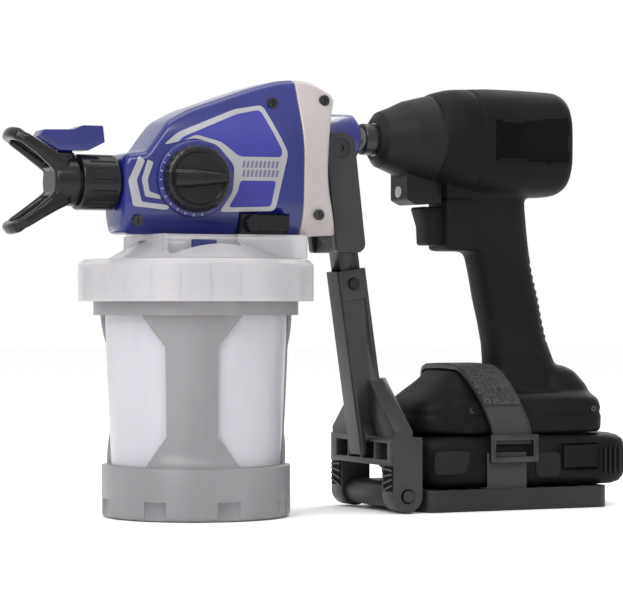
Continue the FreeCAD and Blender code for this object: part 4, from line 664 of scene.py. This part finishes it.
# ---- tip guard ------------------------------------------------------------------------------------
# The guard is one moulding in glossy black plastic, held on the nut by its hub. Its two wings are flared
# loops that grow out of the hub, so the whole guard is a softened remesh of closed forms.
HUB_Z = 195.0
guard = bmesh.new()
hub_sections = [(-91.6, 11.5), (-90.0, 13.2), (-84.0, 13.8), (-78.0, 14.3), (-76.1, 13.8)]
loft(guard, [[(x, y, HUB_Z + z) for y, z in superellipse(r, r, 2.0, 40)] for x, r in hub_sections])
loft(guard, [level_ring(z, -82.0, 5.8, 5.8, 2.0, 32) for z in (196.0, 211.8)])
for sign in (-1.0, 1.0):
    start = Vector((-85.0, 0.0, HUB_Z + sign * 8.0))
    end = Vector((-113.8, 0.0, HUB_Z + sign * 26.6))
    along = (end - start).normalized()
    across = Vector((-along.z * sign, 0.0, along.x * sign))
    length = (end - start).length
    for side in (-1.0, 1.0):
        rail = []
        for share, wide, thick, y in ((0.0, 4.2, 6.4, 7.0), (0.25, 3.4, 4.8, 10.0), (0.55, 2.6, 3.8, 11.8),
                                      (0.85, 2.4, 3.4, 11.4), (1.0, 3.0, 3.0, 8.0)):
            centre = start + along * length * share + Vector((0.0, side * y, 0.0))
            rail.append([tuple(centre + Vector((0, a, 0)) + across * b)
                         for a, b in superellipse(wide, thick, 2.6, 20)])
        loft(guard, rail)
    bar = []
    for y in (-10.0, -5.0, 0.0, 5.0, 10.0):
        centre = start + along * (length + 1.0 - 0.02 * y * y) + Vector((0.0, y, 0.0))
        bar.append([tuple(centre + along * a + across * b) for a, b in superellipse(3.4, 3.6, 2.6, 20)])
    loft(guard, bar)
    foot = []
    for share, half_y in ((0.0, 10.0), (0.2, 12.0)):
        centre = start + along * length * share
        foot.append([tuple(centre + Vector((0, a, 0)) + across * b)
                     for a, b in superellipse(half_y, 5.0, 2.6, 24)])
    loft(guard, foot)
guard_piece = finish_piece("guard", guard, GLOSS_BLACK, "guard", ("tip_guard",))
melted(guard_piece, 0.6, 8)


# ---- strap ----------------------------------------------------------------------------------------
# Stiff black webbing, woven flat: a lower band up each side to the ring, and an upper one over the driver's
# foot with its hook face folded back on top and a bound edge along each side.
WEAVE = 2.6  # radians of the weave's wave in each millimetre


def webbing_finish():
    finish = Finish("webbing")
    spot = finish.node("ShaderNodeTexCoord", {}, {}, "Object")
    split = finish.node("ShaderNodeSeparateXYZ", {}, {0: spot}, 0).socket.node
    x, y, z = [Field(finish, output) * (1.0 / MM) for output in split.outputs]
    weave = (x * WEAVE).sine().abs() * ((y + z) * WEAVE).sine().abs()
    fuzz = finish.noise(0.7)
    finish.surface({
        "Base Color": finish.blend(weave * 0.6 + fuzz * 0.4, (0.004, 0.004, 0.0045), (0.018, 0.0175, 0.019)),
        "Roughness": 0.78, "Sheen Weight": 0.25})
    finish.bump(weave * 0.7 + fuzz * 0.5, 0.35)
    return finish.material


def hook_finish():
    finish = Finish("hook_face")
    tufts = finish.noise(1.5, 4.0, roughness=0.7)
    patches = finish.noise(7.0)
    finish.surface({
        "Base Color": finish.blend(tufts.ramp(0.4, 0.65), (0.004, 0.004, 0.004), (0.040, 0.039, 0.041)),
        "Roughness": patches * 0.2 + 0.65})
    finish.bump(tufts * 0.8 + patches * 0.4, 0.9)
    return finish.material


WEBBING = webbing_finish()
HOOKS = hook_finish()


def smooth_path(points, steps=6):
    """Catmull-Rom path through 3-D points."""
    result = []
    ends = [points[0] * 2 - points[1]] + points + [points[-1] * 2 - points[-2]]
    for i in range(1, len(ends) - 2):
        a, b, c, d = ends[i - 1], ends[i], ends[i + 1], ends[i + 2]
        for k in range(steps):
            t = k / steps
            result.append(0.5 * ((b * 2) + (c - a) * t + (a * 2 - b * 5 + c * 4 - d) * t * t
                                 + (b * 3 - a - c * 3 + d) * t ** 3))
    result.append(points[-1])
    return result


def band(mesh, path, wide, thick):
    """Strap with rounded edges along a path; its width lies along X."""
    rings = []
    for i, point in enumerate(path):
        ahead = path[min(i + 1, len(path) - 1)] - path[max(i - 1, 0)]
        out = Vector((0.0, ahead.z, -ahead.y)).normalized()
        rings.append([tuple(point + Vector((a, 0, 0)) + out * b)
                      for a, b in superellipse(wide / 2, thick / 2, 8.0, 24)])
    loft(mesh, rings)


lower = bmesh.new()
for side in (-1.0, 1.0):
    top = 44.0 if side > 0 else 34.5
    path = [Vector((187.5, side * 39.4, z)) for z in (3.0, 12.0, 22.0, top)]
    band(lower, smooth_path(path), 26.6, 1.9)
finish_piece("strap_lower", lower, WEBBING, "driver")


def over_foot(out, low):
    """Path of the upper band, moved out by out; it leans towards the nose as it rises."""
    half = [(39.4 + out, low), (39.1 + out, 50.0), (38.2 + out, 62.0), (35.5 + out, 71.0), (30.0 + out, 79.2),
            (23.0 + out * 0.8, 84.9 + out * 0.8), (12.0, 85.9 + out), (0.0, 86.2 + out)]
    points = [(-y, z) for y, z in half] + [(y, z) for y, z in reversed(half[:-1])]
    return smooth_path([Vector((191.5 - 0.406 * max(0.0, z - 46.0), y, z)) for y, z in points])


upper = bmesh.new()
band(upper, over_foot(0.0, 39.5), 26.4, 1.7)
finish_piece("strap_upper", upper, WEBBING, "driver", ("strap",))
hooks = bmesh.new()
band(hooks, [p for p in over_foot(1.5, 47.0) if p.z > 62.0 and p.y < 22.0], 24.8, 1.3)
finish_piece("strap_hooks", hooks, HOOKS, "driver")
selvedge = bmesh.new()
for across in (-13.0, 13.0):
    band(selvedge, [p + Vector((across, 0.0, 0.0)) for p in over_foot(0.1, 39.5)], 0.9, 2.3)
finish_piece("strap_edges", selvedge, LEG, "driver")


# ---- knob -----------------------------------------------------------------------------------------
# The pressure knob is a black moulding with a toothed rim and a raised grip, pressed on its stem. It sits
# on a blue boss and turns about an axis that leans with the tapering casing wall; small silver marks make
# its scale.
KNOB_X = -10.6
KNOB_SLOPE = math.atan2(SEAM_HALF - NOSE_HALF, SEAM_X - NOSE_X)
KNOB_CENTRE = Vector((KNOB_X, -wall_half(KNOB_X), 197.0))
KNOB_OUT = Vector((-math.sin(KNOB_SLOPE), -math.cos(KNOB_SLOPE), 0.0))
KNOB_ALONG = Vector((math.cos(KNOB_SLOPE), -math.sin(KNOB_SLOPE), 0.0))
UP = Vector((0, 0, 1))
TEETH = 22


def knob_ring(height, radius, count, bite=0.0):
    """Circle about the knob's axis, bitten in at each gap between its teeth."""
    ring = []
    for i in range(count):
        angle = 2 * math.pi * i / count
        reach = radius - bite * max(0.0, math.cos(angle * TEETH)) ** 2
        flat = UP * reach * math.sin(angle) + KNOB_ALONG * reach * math.cos(angle)
        ring.append(tuple(KNOB_CENTRE + KNOB_OUT * height + flat))
    return ring


boss = bmesh.new()
loft(boss, [knob_ring(height, radius, 72)
            for height, radius in ((-6.0, 22.5), (2.2, 22.5), (2.7, 22.2), (3.0, 21.6), (3.0, 19.0))])
finish_piece("knob_boss", boss, BLUE, "sprayer")
KNOB_PROFILE = (  # height, radius, depth of the gaps between the teeth
    (3.4, 18.6, 0.0), (3.9, 19.5, 0.3), (5.5, 19.6, 0.8), (8.5, 19.4, 0.8), (10.2, 18.4, 0.4), (10.9, 17.2, 0.0),
    (10.9, 15.6, 0.0), (10.3, 14.8, 0.0), (10.3, 3.0, 0.0))
GRIP_PROFILE = (  # place along the grip, half width, height
    (-16.2, 3.2, 11.2), (-14.5, 5.6, 14.2), (-6.0, 5.4, 15.6), (4.0, 4.4, 15.8), (13.5, 3.0, 15.4),
    (17.0, 2.2, 14.2), (18.2, 1.2, 11.2))
GRIP_ROOT = 6.0
knob = bmesh.new()
loft(knob, [knob_ring(height, radius, TEETH * 6, bite) for height, radius, bite in KNOB_PROFILE])
grip = []
for along, half, top in GRIP_PROFILE:
    centre = KNOB_CENTRE + KNOB_ALONG * along + KNOB_OUT * (GRIP_ROOT + top) / 2
    deep = (top - GRIP_ROOT) / 2
    grip.append([tuple(centre + UP * a + KNOB_OUT * b) for a, b in superellipse(half, deep, 3.2, 28)])
loft(knob, grip)
finish_piece("knob", knob, GLOSS_BLACK, "knob", ("pressure_knob",), 28.0)
dial = bmesh.new()
dial_face = KNOB_CENTRE + KNOB_OUT * 3.06
for i in range(11):
    angle = math.radians(140.0 + i * 14.0)
    spoke = UP * math.sin(angle) + KNOB_ALONG * math.cos(angle)
    outer, inner = dial_face + spoke * 21.8, dial_face + spoke * 20.3
    side = (outer - inner).cross(KNOB_OUT).normalized() * 0.35
    dial.faces.new([dial.verts.new(p * MM) for p in (outer - side, outer + side, inner + side, inner - side)])
finish_piece("knob_scale", dial, SILVER, "sprayer")


# ---- parts kept as modelled -----------------------------------------------------------------------
# Every other part keeps its own shape and takes the finish of its material slot, apart from the driver's
# small black pieces, which match its casing, and the casing's screws.
LINER = frosted("liner_plastic", (0.42, 0.41, 0.445), (0.38, 0.375, 0.41), 1.0, 0.30)
RUBBER = moulded("black_rubber", (0.010, 0.010, 0.010), 0.62, 0.5, 0.03, 0.2)
STEEL = turned_metal("steel", (0.55, 0.56, 0.58), 0.32)
BRASS = turned_metal("brass", (0.70, 0.52, 0.24), 0.30)
COPPER = turned_metal("copper", (0.60, 0.28, 0.15), 0.35)
WRAP = moulded("cell_wrap", (0.05, 0.25, 0.16), 0.35)
BOARD = moulded("board", (0.01, 0.10, 0.04), 0.4)

slot_material = {
    "cage_plastic": CAGE, "liner_plastic": LINER, "clear_plastic": CLEAR, "gasket_rubber": RUBBER,
    "blue_plastic": BLUE, "white_plastic": WHITE, "black_plastic": BLACK, "black_gloss": GLOSS_BLACK,
    "steel": STEEL, "dark_steel": DARK_STEEL, "brass": BRASS, "casing_black": DRIVER, "grip_rubber": RUBBER,
    "nose_metal": DRIVER_NOSE, "lens": CLEAR, "webbing": BLACK, "cell_wrap": WRAP, "board": BOARD,
    "copper": COPPER,
}
node_material = {"casing_screws": DARK_STEEL}
for node in ("battery_case", "trigger", "selector", "battery_latch_near", "battery_latch_far", "cell_holder"):
    node_material[node] = DRIVER
for node, part in frame["nodes"].items():
    part.data.materials.clear()
    part.data.materials.append(node_material.get(node, slot_material[slot_of[node]]))


# ---- stage ----------------------------------------------------------------------------------------
# A plain pale floor, a white room, four soft lights and the camera, level with the middle of the sprayer.
# Lengths in this section are in metres.
def soft_light(name, location, target, size, watts):
    data = bpy.data.lights.new(name, "AREA")
    data.shape = "RECTANGLE"
    data.size, data.size_y = size
    data.energy = watts
    lamp = bpy.data.objects.new(name, data)
    bpy.context.collection.objects.link(lamp)
    lamp.location = location
    lamp.rotation_euler = (Vector(target) - Vector(location)).to_track_quat("-Z", "Y").to_euler()


FLOOR_HALF, FLOOR_DROP = 6.0, 0.0004
floor_mesh = bmesh.new()
bmesh.ops.create_grid(floor_mesh, x_segments=1, y_segments=1, size=FLOOR_HALF)
floor_data = bpy.data.meshes.new("floor")
floor_mesh.to_mesh(floor_data)
floor_mesh.free()
stage_floor = bpy.data.objects.new("floor", floor_data)
stage_floor.location = (0.0, 0.0, -FLOOR_DROP)
bpy.context.collection.objects.link(stage_floor)
floor_finish = Finish("floor_paint")
floor_finish.surface({"Base Color": (0.97, 0.97, 0.97, 1.0), "Roughness": 0.6})
floor_data.materials.append(floor_finish.material)

world = bpy.data.worlds.new("studio")
world.use_nodes = True
world.node_tree.nodes["Background"].inputs["Color"].default_value = (1.0, 1.0, 1.0, 1.0)
world.node_tree.nodes["Background"].inputs["Strength"].default_value = 1.0
bpy.context.scene.world = world

middle = (0.08, 0.0, 0.13)
soft_light("key_light", (-1.3, -0.9, 1.1), middle, (0.9, 0.9), 14.0)
soft_light("top_light", (0.1, 0.1, 1.5), middle, (1.2, 0.8), 6.0)
soft_light("strip_light", (-0.45, -0.75, 1.15), (0.0, 0.0, 0.2), (1.3, 0.12), 7.0)
soft_light("rim_light", (1.2, 0.7, 0.9), middle, (0.7, 0.9), 8.0)

# The camera looks level, turned 25 degrees from square on.
TURN = math.radians(25.0)
CAMERA_BACK, CAMERA_RIGHT, CAMERA_HEIGHT = 1.6, 0.06814, 0.1233
VIEW = Vector((math.sin(TURN), math.cos(TURN), 0.0))
RIGHT = Vector((VIEW.y, -VIEW.x, 0.0))
camera_data = bpy.data.cameras.new("camera")
camera_data.lens = 156.7
camera_data.sensor_width = 36.0
camera = bpy.data.objects.new("camera", camera_data)
bpy.context.collection.objects.link(camera)
camera.location = -VIEW * CAMERA_BACK + RIGHT * CAMERA_RIGHT + Vector((0.0, 0.0, CAMERA_HEIGHT))
camera.rotation_euler = VIEW.to_track_quat("-Z", "Y").to_euler()
bpy.context.scene.camera = camera
bpy.context.scene.view_settings.view_transform = "Standard"
